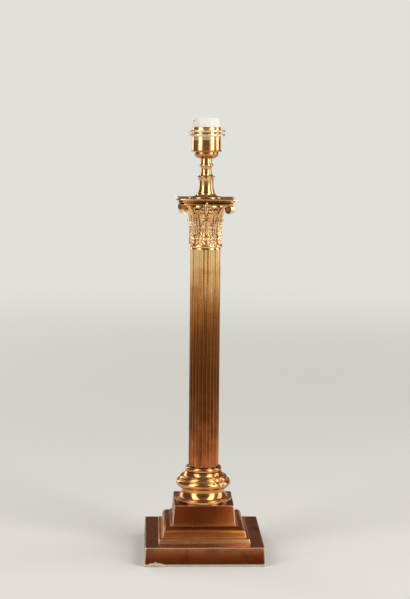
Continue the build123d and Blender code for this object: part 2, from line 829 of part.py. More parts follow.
def bayonet_cut():
    """J-shaped slot through the insert's wall: down, round and a little way up again."""
    bottom = lamp_top - bayonet_slot_depth
    top = bottom + bayonet_slot_width
    inside = bulb_bore_radius - overrun
    outside = insert_radius + overrun
    section = outline((inside, bottom), (outside, bottom), (outside, top), (inside, top))
    run = revolve(Plane.XZ * section, Axis.Z, bayonet_turn)
    return slot_leg(0, bottom, lamp_top + overrun) + run + slot_leg(bayonet_turn, bottom, top + bayonet_hook)


def lamp_insert():
    """Moulded liner that stands out of the shell and takes the bulb's bayonet cap."""
    skirt = shell_bore_radius - insert_skirt_fit
    inner = block_radius + block_gap
    bore_floor = lamp_top - bulb_bore_depth
    relief = bulb_bore_radius + bulb_bore_relief
    body = turned(
        (inner, block_top - insert_skirt_overlap), (skirt, block_top - insert_skirt_overlap),
        (skirt, shell_top), (insert_radius, shell_top), (insert_radius, lamp_top - insert_edge),
        (insert_radius - insert_edge, lamp_top), (bulb_bore_radius, lamp_top), (bulb_bore_radius, bore_floor),
        (relief, bore_floor), (relief, block_top), (inner, block_top),
    )
    return body - around(bayonet_cut(), 2)


def shade_ring(bottom):
    """Turned ring with an eased rim that screws along the shell."""
    bore = shell_radius + shade_ring_fit
    rim = shade_ring_radius - shade_ring_edge
    return turned(*rising(
        bottom, (bore, 0), (rim, 0), (shade_ring_radius, shade_ring_edge),
        (shade_ring_radius, shade_ring_thickness - 2 * shade_ring_edge), (rim, shade_ring_edge), (bore, 0),
    ))


# ------------------------------------------------------ terminal block, contacts

def terminal_block():
    """Moulded disc that holds the two contact barrels, with a barrier between the contacts."""
    block = disc(block_radius, block_bottom, block_height)
    barrier = Box(2 * (bulb_bore_radius - overrun), barrier_width, block_web, align=standing)
    pocket = disc(barrel_radius + barrel_fit, block_bottom, barrel_top - block_bottom)
    mouth = disc(plunger_radius + plunger_fit, block_bottom, block_height)
    screw_way = Rot(90, 0, 0) * Cylinder(terminal_head_radius + screw_hole_gap, 2 * block_radius + overrun)
    block = block + Pos(0, 0, block_top) * barrier
    block = block - [place * (pocket + mouth) for place in contact_places]
    return block - Pos(0, 0, terminal_z) * screw_way


def outward(shape):
    """A shape made for the contact on the -Y side, and the same turned round for the +Y side."""
    near, far = contact_places
    return Compound([near * shape, far * Rot(0, 0, 180) * shape])


def terminal_hole(radius, length, start, align):
    """Cylinder along -Y from a distance off the barrel's axis, at the height of the terminal screw."""
    return Pos(0, -start, terminal_z) * Rot(90, 0, 0) * Cylinder(radius, length, align=align)


def contact_barrels():
    """Brass tubes, closed below the springs, that guide the plungers and clamp the wires."""
    barrel = disc(barrel_radius, barrel_bottom, barrel_top - barrel_bottom)
    barrel = barrel - disc(barrel_bore_radius, spring_bottom, barrel_top - spring_bottom)
    barrel = barrel - disc(wire_way_radius, barrel_bottom, wire_way_height)
    return outward(barrel - terminal_hole(terminal_screw_radius, barrel_radius, 0, standing))


def terminal_screws():
    """Slotted screws that press the wires against the barrels."""
    shank = terminal_hole(terminal_screw_radius - thread_seat, terminal_shank_length, barrel_radius, hanging)
    head = terminal_hole(terminal_head_radius, terminal_head_height, barrel_radius, standing)
    slot = Box(2 * terminal_head_radius, 2 * driver_slot_depth, driver_slot_width)
    return outward(shank + head - Pos(0, -barrel_radius - terminal_head_height, terminal_z) * slot)


def contact_plunger():
    """Sprung contact: a pin with an eased nose and a flange that stops it inside the barrel."""
    tip = block_top + plunger_projection
    return turned(
        (0, plunger_flange_bottom), (plunger_flange_radius, plunger_flange_bottom),
        (plunger_flange_radius, barrel_top), (plunger_radius, barrel_top),
        (plunger_radius, tip - plunger_nose), (plunger_radius - plunger_nose, tip), (0, tip),
    )


def contact_spring():
    """Plain sleeve in the place of the coil between the barrel's floor and the plunger's flange."""
    outer = barrel_bore_radius - spring_clearance
    return washer(outer, outer - spring_wire, spring_bottom, plunger_flange_bottom - spring_bottom)


near_contact, far_contact = contact_places
pieces = {
    "felt_pad": felt_pad(),
    "base_cover": base_cover(),
    "cover_screws": cover_screws(),
    "base_weight": base_weight(),
    "plinth": plinth(),
    "cable_grommet": cable_grommet(),
    "earth_screw": earth_screw(),
    "earth_tag": earth_tag(),
    "pedestal": pedestal(),
    "round_base": round_base(),
    "column": column(),
    "lower_column_bush": column_bush(column_bottom),
    "upper_column_bush": column_bush(column_top - bush_height),
    "capital": capital(),
    "abacus_plate": abacus_plate(),
    "neck": neck(),
    "tie_tube": tie_tube(),
    "bottom_washer": bottom_washer(),
    "bottom_lock_washer": bottom_lock_washer(),
    "bottom_nut": bottom_nut(),
    "lampholder_cap": lampholder_cap(),
    "cap_grub_screw": cap_grub_screw(),
    "lampholder_shell": lampholder_shell(),
    "lamp_insert": lamp_insert(),
    "terminal_block": terminal_block(),
    "contact_barrels": contact_barrels(),
    "terminal_screws": terminal_screws(),
    "live_plunger": near_contact * contact_plunger(),
    "neutral_plunger": far_contact * contact_plunger(),
    "live_spring": near_contact * contact_spring(),
    "neutral_spring": far_contact * contact_spring(),
    "upper_shade_ring": shade_ring(upper_ring_bottom),
    "lower_shade_ring": shade_ring(lower_ring_bottom),
}

os.makedirs("parts", exist_ok=True)
for name, piece in pieces.items():
    export_step(piece, "parts/" + name + ".step")
print("lamp height", round(lamp_top, 2), "mm;", len(pieces), "pieces")
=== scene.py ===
"""Dresses the column table lamp: its shapes, finishes, studio and camera.

Sizes are millimetres in the lamp's own frame, front towards -Y. A mesh is brought to metres when its
piece is finished.
"""
import logging
import math
from collections.abc import Callable, Iterable, Sequence
from dataclasses import dataclass
from enum import Enum

import bmesh
import bpy
from mathutils import Matrix, Vector, noise


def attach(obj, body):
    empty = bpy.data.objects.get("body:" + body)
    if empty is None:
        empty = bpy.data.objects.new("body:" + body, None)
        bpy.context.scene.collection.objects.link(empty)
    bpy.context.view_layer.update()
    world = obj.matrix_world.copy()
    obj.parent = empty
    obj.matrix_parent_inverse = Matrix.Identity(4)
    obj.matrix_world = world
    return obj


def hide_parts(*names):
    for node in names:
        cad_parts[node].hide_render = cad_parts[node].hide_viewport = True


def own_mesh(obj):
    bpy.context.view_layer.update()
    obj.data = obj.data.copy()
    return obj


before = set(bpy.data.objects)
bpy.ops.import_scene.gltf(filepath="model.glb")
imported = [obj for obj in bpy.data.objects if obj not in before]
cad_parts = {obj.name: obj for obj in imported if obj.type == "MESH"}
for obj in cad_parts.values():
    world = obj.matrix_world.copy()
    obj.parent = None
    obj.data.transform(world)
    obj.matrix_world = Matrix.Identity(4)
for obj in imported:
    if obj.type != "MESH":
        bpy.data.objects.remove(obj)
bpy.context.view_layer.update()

log = logging.getLogger("column_lamp")
MM = 0.001
TURN = 2.0 * math.pi
CREASE = math.radians(38.0)
Point = tuple[float, float]
Mesh = bmesh.types.BMesh
Tree = bpy.types.NodeTree
Node = bpy.types.Node
Socket = bpy.types.NodeSocket


# ------------------------------------------------------------------- outlines

def curved(start: Point, end: Point, swell: float, count: int = 10) -> list[Point]:
    """Follow a circular arc.

    Args:
        start: the point before the arc, which isn't given back.
        end: the arc's last point.
        swell: how far it stands out to the right of the way there, negative for a hollow.
        count: how many points the arc has.

    Returns:
        The arc's points after its start.
    """
    across, up = end[0] - start[0], end[1] - start[1]
    chord = math.hypot(across, up)
    half = 2.0 * math.atan(2.0 * abs(swell) / chord)
    radius = chord / 2.0 / math.sin(half)
    points = []
    for index in range(1, count + 1):
        angle = half * (2.0 * index / count - 1.0)
        along = 0.5 + radius * math.sin(angle) / chord
        out = math.copysign(radius * (math.cos(angle) - math.cos(half)), swell) / chord
        points.append((start[0] + along * across + out * up, start[1] + along * up - out * across))
    return points


def rising(height: float, *steps: tuple[float, ...]) -> list[Point]:
    """Draw an outline upwards.

    Args:
        height: where it starts.
        steps: each a radius and a rise, and for an arc its swell.

    Returns:
        The outline's points as radius and height.
    """
    points: list[Point] = []
    for radius, rise, *swell in steps:
        height += rise
        points += curved(points[-1], (radius, height), swell[0]) if swell else [(radius, height)]
    return points


def bent(start: Point, knee: Point, end: Point, count: int) -> list[Point]:
    """Follow a smooth bend from start to end that heads for the knee at both.

    Args:
        start: first point.
        knee: where the two end directions cross.
        end: last point.
        count: how many runs it has.

    Returns:
        The bend's points, both ends among them.
    """
    a, b, c = Vector(start), Vector(knee), Vector(end)
    places = (index / count for index in range(count + 1))
    return [tuple(a.lerp(b, t).lerp(b.lerp(c, t), t)) for t in places]


def rolled(centre: Point, radius: float, eye: float, turns: float, count: int) -> list[Point]:
    """Roll inwards clockwise from the top of a circle.

    Args:
        centre: middle of the roll.
        radius: its outside.
        eye: where it stops.
        turns: how often it goes round.
        count: how many points it has.

    Returns:
        The roll's points after the topmost one.
    """
    points = []
    for index in range(1, count + 1):
        done = index / count
        angle = TURN * (0.25 - turns * done)
        reach = radius + (eye - radius) * done
        points.append((centre[0] + reach * math.cos(angle), centre[1] + reach * math.sin(angle)))
    return points


# --------------------------------------------------------------------- meshes

def wire(bm: Mesh, points: Sequence[Vector], closed: bool) -> list[bmesh.types.BMEdge]:
    """Draw a line of edges through points.

    Args:
        bm: the mesh that gets it.
        points: its corners in order.
        closed: whether the last joins the first.

    Returns:
        The edges.
    """
    verts = [bm.verts.new(point) for point in points]
    after = verts[1:] + verts[:1] if closed else verts[1:]
    return [bm.edges.new(pair) for pair in zip(verts, after)]


def closed_up(bm: Mesh) -> Mesh:
    """Weld a mesh's doubles, close its holes and turn its faces outwards.

    Args:
        bm: the mesh, which is changed.

    Returns:
        The same mesh.
    """
    bmesh.ops.remove_doubles(bm, verts=bm.verts, dist=1e-3)
    bmesh.ops.holes_fill(bm, edges=bm.edges)
    bmesh.ops.recalc_face_normals(bm, faces=bm.faces)
    return bm


def eased(bm: Mesh, width: float, over: float = 50.0) -> Mesh:
    """Round off the sharp edges of a closed mesh.

    Args:
        bm: the mesh, which is changed.
        width: how far the rounding reaches to each side of an edge.
        over: the least angle in degrees of an edge that is rounded.

    Returns:
        The same mesh.
    """
    sharp = [edge for edge in bm.edges if edge.calc_face_angle(0.0) > math.radians(over)]
    bmesh.ops.bevel(
        bm, geom=sharp, offset=width, offset_type="OFFSET", segments=2, profile=0.5, affect="EDGES",
        clamp_overlap=True, material=-1,
    )
    return bm


def spun(points: Sequence[Point], soft: float = 0.15, count: int = 128) -> Mesh:
    """Turn a closed half section on the lamp's axis.

    Args:
        points: its corners as radius and height.
        soft: how far each corner is rounded off.
        count: how many faces go round.

    Returns:
        The closed body.
    """
    bm = bmesh.new()
    wire(bm, [Vector((radius, 0.0, height)) for radius, height in points], closed=True)
    corners = [vert for vert in bm.verts if vert.calc_edge_angle(0.0) > math.radians(25.0)]
    bmesh.ops.bevel(
        bm, geom=corners, offset=soft, offset_type="OFFSET", segments=3, profile=0.5, affect="VERTICES",
        clamp_overlap=True, material=-1,
    )
    bmesh.ops.spin(
        bm, geom=bm.verts[:] + bm.edges[:], cent=(0, 0, 0), axis=(0, 0, 1), angle=TURN, steps=count,
        use_merge=True,
    )
    return closed_up(bm)


def squared(points: Sequence[Point], soft: float, edge: float) -> Mesh:
    """Run a closed half section round a square, mitred at the corners.

    Args:
        points: its corners as half width and height.
        soft: how far each corner of the section is rounded off.
        edge: how far the four mitres are rounded off.

    Returns:
        The closed body.
    """
    bm = spun(points, soft, 4)
    turn = Matrix.Diagonal((math.sqrt(2.0), math.sqrt(2.0), 1.0, 1.0)) @ Matrix.Rotation(TURN / 8, 4, "Z")
    bmesh.ops.transform(bm, matrix=turn, verts=bm.verts)
    return eased(bm, edge)


def swept(section: Sequence[Point], places: Sequence[Matrix]) -> Mesh:
    """Pull a flat closed section through a row of places.

    Args:
        section: its corners in the plane of each place.
        places: where the section goes, one after another.

    Returns:
        The closed body.
    """
    bm = bmesh.new()
    edges = wire(bm, [places[0] @ Vector((x, y, 0.0)) for x, y in section], closed=True)
    for before, after in zip(places, places[1:]):
        pulled = bmesh.ops.extrude_edge_only(bm, edges=edges)["geom"]
        verts = [item for item in pulled if isinstance(item, bmesh.types.BMVert)]
        edges = [item for item in pulled if isinstance(item, bmesh.types.BMEdge)]
        bmesh.ops.transform(bm, matrix=after @ before.inverted(), verts=verts)
    return closed_up(bm)


def sheet(columns: int, rows: int, place: Callable[[float, float], Vector], wall: float) -> Mesh:
    """Shape a grid into a thin blade.

    Args:
        columns: faces across.
        rows: faces up.
        place: gives a point for its place across, -1 to 1, and up, 0 to 1.
        wall: the blade's thickness.

    Returns:
        The closed blade.
    """
    bm = bmesh.new()
    bmesh.ops.create_grid(bm, x_segments=columns, y_segments=rows, size=1.0)
    for vert in bm.verts:
        vert.co = place(vert.co.x, (vert.co.y + 1.0) / 2.0)
    bm.normal_update()
    back = [(vert, vert.co - vert.normal * wall) for vert in bm.verts]
    bmesh.ops.extrude_face_region(bm, geom=bm.faces[:], use_keep_orig=True)
    for vert, point in back:
        vert.co = point
    bmesh.ops.recalc_face_normals(bm, faces=bm.faces)
    return bm


def repeated(bm: Mesh, count: int, first: float = 0.0) -> Mesh:
    """Copy a mesh round the lamp's axis at equal steps.

    Args:
        bm: the mesh at the front, which is changed.
        count: how many there are in the end.
        first: how far the first is turned, in degrees.

    Returns:
        The same mesh.
    """
    bmesh.ops.rotate(bm, cent=(0, 0, 0), matrix=Matrix.Rotation(math.radians(first), 3, "Z"), verts=bm.verts)
    bmesh.ops.spin(
        bm, geom=bm.verts[:] + bm.edges[:] + bm.faces[:], cent=(0, 0, 0), axis=(0, 0, 1),
        angle=TURN * (count - 1) / count, steps=count - 1, use_duplicate=True,
    )
    return bm


def gathered(parts: Iterable[Mesh]) -> Mesh:
    """Put several meshes into one.

    Args:
        parts: the meshes, which are freed.

    Returns:
        The new mesh.
    """
    whole = bmesh.new()
    for part in parts:
        carrier = bpy.data.meshes.new("carrier")
        part.to_mesh(carrier)
        part.free()
        whole.from_mesh(carrier)
        bpy.data.meshes.remove(carrier)
    return whole


def put_up(name: str, bm: Mesh, material: bpy.types.Material) -> bpy.types.Object:
    """Put a mesh into the scene as an object.

    Args:
        name: the object's name.
        bm: the mesh, which is freed.
        material: what covers it.

    Returns:
        The object.
    """
    data = bpy.data.meshes.new(name)
    bm.to_mesh(data)
    bm.free()
    data.materials.append(material)
    thing = bpy.data.objects.new(name, data)
    bpy.context.scene.collection.objects.link(thing)
    return thing


# ------------------------------------------------------------------- finishes

def linear(code: str) -> tuple[float, float, float, float]:
    """Turn an sRGB hex colour into the linear values that a shader takes.

    Args:
        code: the colour as #RRGGBB.

    Returns:
        Red, green, blue and alpha.
    """
    parts = [int(code[at:at + 2], 16) / 255.0 for at in (1, 3, 5)]
    red, green, blue = (p / 12.92 if p <= 0.04045 else ((p + 0.055) / 1.055) ** 2.4 for p in parts)
    return red, green, blue, 1.0


def per_mm(size: float) -> float:
    """The noise scale in metres at which a pattern's features are this many millimetres."""
    return 1.0 / (size * MM)


def add_node(tree: Tree, kind: str, inputs: dict[str | int, object] | None = None,
             **settings: object) -> Node:
    """Add one shader node.

    Args:
        tree: the material's node tree.
        kind: the node's type, without the ShaderNode in front.
        inputs: for each socket, by name or number, a value or the socket that feeds it.
        settings: the node's own options.

    Returns:
        The node.
    """
    node = tree.nodes.new("ShaderNode" + kind)
    for key, value in settings.items():
        setattr(node, key, value)
    for key, value in (inputs or {}).items():
        if isinstance(value, Socket):
            tree.links.new(value, node.inputs[key])
        else:
            node.inputs[key].default_value = value
    return node


@dataclass(frozen=True)
class Finish:
    """What a surface is made of; each kind of finish sets up the shader in its own way."""

    name: str
    slot: str

    def material(self) -> bpy.types.Material:
        """Make the material once and give the same one after that.

        Returns:
            The material.
        """
        made = bpy.data.materials.get(self.name)
        if made is None:
            made = bpy.data.materials.new(self.name)
            made.use_nodes = True
            tree = made.node_tree
            self.dress(tree, tree.nodes["Principled BSDF"], add_node(tree, "TexCoord").outputs["Object"])
        return made

    def dress(self, tree: Tree, shader: Node, place: Socket) -> None:
        """Set up the shader from its pattern.

        Args:
            tree: the material's node tree.
            shader: its surface shader.
            place: where a point lies on the lamp, in metres.
        """
        raise NotImplementedError

    def spots(self, tree: Tree, place: Socket, size: float, ends: Point, detail: float = 4.0) -> Socket:
        """Irregular spots, as a mask.

        Args:
            tree: the material's node tree.
            place: where a point lies.
            size: the spots' size in millimetres.
            ends: noise values at which the mask is 0 and 1.
            detail: how finely their edges break up.

        Returns:
            The mask's socket.
        """
        cloud = add_node(tree, "TexNoise", {"Vector": place, "Scale": per_mm(size), "Detail": detail})
        return add_node(tree, "MapRange", {
            "Value": cloud.outputs["Fac"], "From Min": ends[0], "From Max": ends[1],
        }).outputs["Result"]

    def narrows(self, tree: Tree, reach: float, ends: Point, inside: bool = False) -> Socket:
        """Hollows of the surface or, looked for from inside it, edges, as a mask.

        Args:
            tree: the material's node tree.
            reach: how far round a point the surface counts, in millimetres.
            ends: openness at which the mask is 0 and 1.
            inside: whether to look inside the surface.

        Returns:
            The mask's socket.
        """
        openness = add_node(tree, "AmbientOcclusion", {"Distance": reach * MM}, samples=12, inside=inside)
        return add_node(tree, "MapRange", {
            "Value": openness.outputs["AO"], "From Min": ends[0], "From Max": ends[1],
        }).outputs["Result"]

    def relief(self, tree: Tree, place: Socket, size: float, detail: float, depth: float,
               **under: Socket) -> Socket:
        """Small unevenness of the surface.

        Args:
            tree: the material's node tree.
            place: where a point lies.
            size: how far apart its bumps are, in millimetres.
            detail: how finely they break up.
            depth: how high they are, in millimetres.
            under: as Normal, a coarser relief that carries this one.

        Returns:
            The normal's socket.
        """
        rise = add_node(tree, "TexNoise", {"Vector": place, "Scale": per_mm(size), "Detail": detail})
        return add_node(tree, "Bump", {
            "Height": rise.outputs["Fac"], "Strength": 1.0, "Distance": depth * MM, **under,
        }).outputs["Normal"]

    def blended(self, tree: Tree, mask: Socket, share: float,
                under: Socket | str, over: str) -> Socket:
        """Lay a colour over another where a mask says so.

        Args:
            tree: the material's node tree.
            mask: where the upper colour shows.
            share: how much of it shows there.
            under: the lower colour, as a socket or a hex code.
            over: the upper colour's hex code.

        Returns:
            The colour's socket.
        """
        factor = add_node(tree, "Math", {0: mask, 1: share}, operation="MULTIPLY").outputs[0]
        below = linear(under) if isinstance(under, str) else under
        mix = add_node(tree, "Mix", {0: factor, 6: below, 7: linear(over)}, data_type="RGBA")
        return mix.outputs[2]


class Marks(Enum):
    """How the tool's marks run on a metal surface, as stretches of the noise along X, Y and Z."""

    TURNED = (0.02, 0.02, 1.0)
    DRAWN = (1.0, 1.0, 0.02)
    CAST = (1.0, 1.0, 1.0)


@dataclass(frozen=True)
class HeightTone:
    """A colour at a height of the lamp, and how much of the soiling and painted shade shows there."""

    height: float
    colour: str
    grime_and_shade_share: float = 1.0


@dataclass(frozen=True)
class Brass(Finish):
    """Brass under old lacquer: warm yellow-brown, redder and duller in patches, dark in its hollow places
    from patina and painted shade.

    The eye gets sharp bright lines along edges, pale from wear and from a painted highlight, reflections that
    waver over small dents, and marks of the lathe, the die or the sand, drawn coarser than real ones so that
    they show. Where height tones are given, they take the place of the metal's one colour; on the column they
    are a painted reflection. Sizes, reaches and depths are millimetres, ends are the noise or openness at
    which a mask is 0 and 1, and a share is how much of a colour shows.
    """

    patches: str
    grime_and_shade_colour: str
    wear_and_highlight_colour: str
    gloss: float
    metal: str = ""
    ages: tuple[HeightTone, ...] = ()
    height_tones_break: float = 0.07
    patch_size: float = 16.0
    patch_ends: Point = (0.42, 0.66)
    patch_share: float = 0.65
    speck_size: float = 1.8
    speck_ends: Point = (0.62, 0.72)
    speck_share: float = 0.2
    streak_size: float = 1.3
    streak_ends: Point = (0.44, 0.62)
    streak_share: float = 0.0
    patina_and_shade_reach: float = 3.0
    patina_and_shade_ends: Point = (0.75, 0.25)
    patina_and_shade_share: float = 0.75
    edge_wear_and_highlight_reach: float = 0.7
    edge_wear_and_highlight_ends: Point = (0.82, 0.45)
    edge_wear_and_highlight_share: float = 0.7
    edge_rough: float = 0.0
    dent_size: float = 7.0
    dent_depth: float = 0.03
    marks: Marks = Marks.TURNED
    mark_size: float = 0.5
    mark_depth: float = 0.002

    def dress(self, tree: Tree, shader: Node, place: Socket) -> None:
        """Colour from height, patches, soiling, patina and painted shade in hollow places, and edges pale
        from wear and painted highlight; relief from dents and tool marks.

        Args:
            tree: the material's node tree.
            shader: its surface shader.
            place: where a point lies on the lamp, in metres.
        """
        colour, grime_and_shade_share = self.by_height(tree, place) if self.ages else (self.metal, 1.0)
        patchy = self.spots(tree, place, self.patch_size, self.patch_ends)
        colour = self.blended(tree, patchy, self.patch_share, colour, self.patches)
        along = add_node(tree, "Mapping", {"Vector": place, "Scale": self.marks.value}).outputs["Vector"]
        # Specks and streaks lay soiling; the hollow mask lays patina and painted shade.
        for mask, share in (
            (self.spots(tree, place, self.speck_size, self.speck_ends, 2.0), self.speck_share),
            (self.spots(tree, along, self.streak_size, self.streak_ends, 2.0), self.streak_share),
            (self.narrows(tree, self.patina_and_shade_reach, self.patina_and_shade_ends), self.patina_and_shade_share),
        ):
            grime_and_shade_mask = add_node(tree, "Math", {0: mask, 1: grime_and_shade_share}, operation="MULTIPLY").outputs[0]
            colour = self.blended(tree, grime_and_shade_mask, share, colour, self.grime_and_shade_colour)
        # Edges take a pale colour that is part wear, part painted highlight; the same mask roughens them.
        edge = self.narrows(tree, self.edge_wear_and_highlight_reach, self.edge_wear_and_highlight_ends, inside=True)
        colour = self.blended(tree, edge, self.edge_wear_and_highlight_share, colour, self.wear_and_highlight_colour)
        tree.links.new(colour, shader.inputs["Base Color"])
        shader.inputs["Metallic"].default_value = 1.0
        rough = add_node(tree, "MapRange", {
            "Value": patchy, "To Min": self.gloss, "To Max": self.gloss + 0.1,
        }).outputs["Result"]
        worn = add_node(tree, "Math", {0: edge, 1: self.edge_rough}, operation="MULTIPLY").outputs[0]
        rough = add_node(tree, "Math", {0: rough, 1: worn}, operation="MAXIMUM").outputs[0]
        tree.links.new(rough, shader.inputs["Roughness"])
        wavy = self.relief(tree, place, self.dent_size, 1.0, self.dent_depth)
        marked = self.relief(tree, along, self.mark_size, 3.0, self.mark_depth, Normal=wavy)
        tree.links.new(marked, shader.inputs["Normal"])

    def by_height(self, tree: Tree, place: Socket) -> tuple[Socket, Socket]:
        """Change the colour, and the share of soiling and painted shade, with height up the lamp.

        Args:
            tree: the material's node tree.
            place: where a point lies on the lamp, in metres.

        Returns:
            The sockets of the colour and of the share of soiling and painted shade.
        """
        first, last = self.ages[0].height, self.ages[-1].height
        height = add_node(tree, "SeparateXYZ", {0: place}).outputs["Z"]
        share = add_node(tree, "MapRange", {"Value": height, "From Min": first * MM, "From Max": last * MM})
        cloud = self.spots(tree, place, self.patch_size, (0.3, 0.7))
        shift = add_node(tree, "MapRange", {
            "Value": cloud, "To Min": -self.height_tones_break, "To Max": self.height_tones_break,
        })
        broken = add_node(tree, "Math", {
            0: share.outputs["Result"], 1: shift.outputs["Result"],
        }, operation="ADD")
        ramp = add_node(tree, "ValToRGB", {"Fac": broken.outputs[0]})
        ramp.color_ramp.interpolation = "B_SPLINE"
        stops = ramp.color_ramp.elements
        for index, height_tone in enumerate(self.ages):
            end = height_tone in (self.ages[0], self.ages[-1])
            stop = stops[-1 if index else 0] if end else stops.new((height_tone.height - first) / (last - first))
            stop.color = (*linear(height_tone.colour)[:3], height_tone.grime_and_shade_share)
        return ramp.outputs["Color"], ramp.outputs["Alpha"]


@dataclass(frozen=True)
class Grained(Finish):
    """A surface of one colour broken up by a grain: moulding, plating, casting, rubber or felt.

    The eye gets soft patches of a second colour and a relief too small to make out one by one.
    """

    colour: str
    second: str
    share: float
    roughness: float
    patch_size: float
    grain_size: float
    grain_depth: float
    metallic: float = 0.0
    fuzz: float = 0.0
    patch_ends: Point = (0.4, 0.65)

    def dress(self, tree: Tree, shader: Node, place: Socket) -> None:
        """Colour and gloss from soft patches, relief from the grain.

        Args:
            tree: the material's node tree.
            shader: its surface shader.
            place: where a point lies on the lamp, in metres.
        """
        patchy = self.spots(tree, place, self.patch_size, self.patch_ends)
        colour = self.blended(tree, patchy, self.share, self.colour, self.second)
        tree.links.new(colour, shader.inputs["Base Color"])
        shader.inputs["Metallic"].default_value = self.metallic
        shader.inputs["Sheen Weight"].default_value = self.fuzz
        rough = add_node(tree, "MapRange", {
            "Value": patchy, "To Min": self.roughness, "To Max": min(1.0, self.roughness + 0.1),
        }).outputs["Result"]
        tree.links.new(rough, shader.inputs["Roughness"])
        grain = self.relief(tree, place, self.grain_size, 5.0, self.grain_depth)
        tree.links.new(grain, shader.inputs["Normal"])


class Finishes(Enum):
    """The lamp's finishes."""

    # Sand-cast slab: the reddest and dullest brass, lighter towards its top; patina and painted shade in
    # hollow places, arrises pale from wear and painted highlight.
    CAST_PLINTH = Brass(
        "cast_brass_dark_lacquer", "aged_brass", patches="#5E2A12", grime_and_shade_colour="#301208", wear_and_highlight_colour="#FFF0DC",
        gloss=0.2, ages=(HeightTone(2.0, "#602A12"), HeightTone(11.0, "#78381A"), HeightTone(19.6, "#C07C4C")), height_tones_break=0.3,
        patina_and_shade_reach=2.0, patina_and_shade_share=0.5, edge_wear_and_highlight_reach=2.2, edge_wear_and_highlight_ends=(0.92, 0.5), edge_wear_and_highlight_share=1.0,
        edge_rough=0.55, dent_size=14.0, marks=Marks.CAST, mark_size=0.8,
    )
    # Sand-cast pedestal: the same lacquer, golden on its lowest step and red-brown above; patina and painted
    # shade in hollow places, arrises pale from wear and painted highlight.
    CAST_PEDESTAL = Brass(
        "cast_brass_red_lacquer", "aged_brass", patches="#7E3C1A", grime_and_shade_colour="#38160A", wear_and_highlight_colour="#FFECD6",
        gloss=0.27, patch_size=30.0, patch_share=0.4,
        ages=(HeightTone(21.0, "#FFB468", 0.6), HeightTone(26.0, "#D88E4C"), HeightTone(34.0, "#A8602C"), HeightTone(56.0, "#A04C28")),
        patina_and_shade_reach=1.5, patina_and_shade_share=0.5, edge_wear_and_highlight_reach=1.7, edge_wear_and_highlight_ends=(0.9, 0.55), edge_wear_and_highlight_share=1.0,
        edge_rough=0.55, dent_size=14.0, marks=Marks.CAST, mark_size=0.8,
    )
    # Spun and turned base of the column: the same lacquer with wavering highlights, patina and painted shade
    # in hollow places, edges pale from wear and painted highlight.
    TURNED_BASE = Brass(
        "turned_brass_aged_lacquer", "aged_brass", metal="#DCA468", patches="#A6642F", grime_and_shade_colour="#3C180A",
        wear_and_highlight_colour="#FFE0B0", gloss=0.13, dent_size=9.0, dent_depth=0.07,
    )
    # Drawn tube: golden at the top, brown below the middle and orange at its foot, a painted reflection of
    # how light falls down the tube, with less soiling and painted shade near the top.
    DRAWN_COLUMN = Brass(
        "drawn_brass_aged_lacquer", "aged_brass", patches="#5A2E12", grime_and_shade_colour="#3C1A0A", wear_and_highlight_colour="#F4BC78",
        gloss=0.08, patch_size=22.0, patch_share=0.25, speck_share=0.1, streak_share=0.6,
        ages=(HeightTone(95.0, "#E88850"), HeightTone(150.0, "#3A1804"), HeightTone(228.0, "#84481C"), HeightTone(266.0, "#D8944C", 0.6),
              HeightTone(286.0, "#FFD494", 0.3), HeightTone(310.0, "#FFDC9C", 0.25)),
        patina_and_shade_reach=2.4, patina_and_shade_ends=(0.95, 0.66), patina_and_shade_share=0.8, edge_wear_and_highlight_reach=1.0, edge_wear_and_highlight_ends=(0.85, 0.5),
        edge_wear_and_highlight_share=0.45, marks=Marks.DRAWN,
    )
    # Chased casting: gold on the raised leaves, dark red-brown in the undercuts from patina and painted
    # shade, edges pale from wear and painted highlight.
    CAST_CAPITAL = Brass(
        "cast_brass_chased", "cast_brass", metal="#FFD294", patches="#CC8C4C", grime_and_shade_colour="#40120A",
        wear_and_highlight_colour="#FFECD0", gloss=0.16, patch_size=9.0, patina_and_shade_reach=2.6, patina_and_shade_ends=(0.8, 0.25),
        patina_and_shade_share=0.85, edge_wear_and_highlight_reach=0.6, edge_wear_and_highlight_share=0.6, dent_size=3.0, marks=Marks.CAST, mark_size=0.6,
    )
    # Flowers and abacus under the plate: the same casting in a darker, redder colour that is painted shade.
    CAST_PAINTED_SHADE = Brass(
        "cast_brass_painted_shade", "cast_brass", metal="#C08848", patches="#9A5E30", grime_and_shade_colour="#40190C",
        wear_and_highlight_colour="#F8D09A", gloss=0.18, patch_size=9.0, patina_and_shade_reach=2.6, patina_and_shade_share=0.9, edge_wear_and_highlight_reach=0.8,
        edge_wear_and_highlight_share=0.5, dent_size=3.0, marks=Marks.CAST, mark_size=0.6,
    )
    # Turned neck, shell and contacts: the brightest brass, with lathe marks round it, patina and painted
    # shade in hollow places, edges pale from wear and painted highlight.
    TURNED_BRIGHT = Brass(
        "turned_brass_bright", "bright_brass", metal="#E0BA84", patches="#C89A5E", grime_and_shade_colour="#5C2C12",
        wear_and_highlight_colour="#FBE8C4", gloss=0.11, patch_size=20.0, speck_share=0.05, patina_and_shade_reach=1.6, dent_depth=0.015,
    )
    # Shade rings: the turned brass in a paler colour that is a painted highlight, and softly shining.
    TURNED_PAINTED_HIGHLIGHT = Brass(
        "turned_brass_painted_highlight", "bright_brass", metal="#FADDB0", patches="#F0D0A0", grime_and_shade_colour="#7A4822",
        wear_and_highlight_colour="#FFF2DC", gloss=0.32, patch_size=20.0, speck_share=0.0, patina_and_shade_reach=0.8, patina_and_shade_share=0.4,
        edge_wear_and_highlight_share=0.9, dent_depth=0.015,
    )
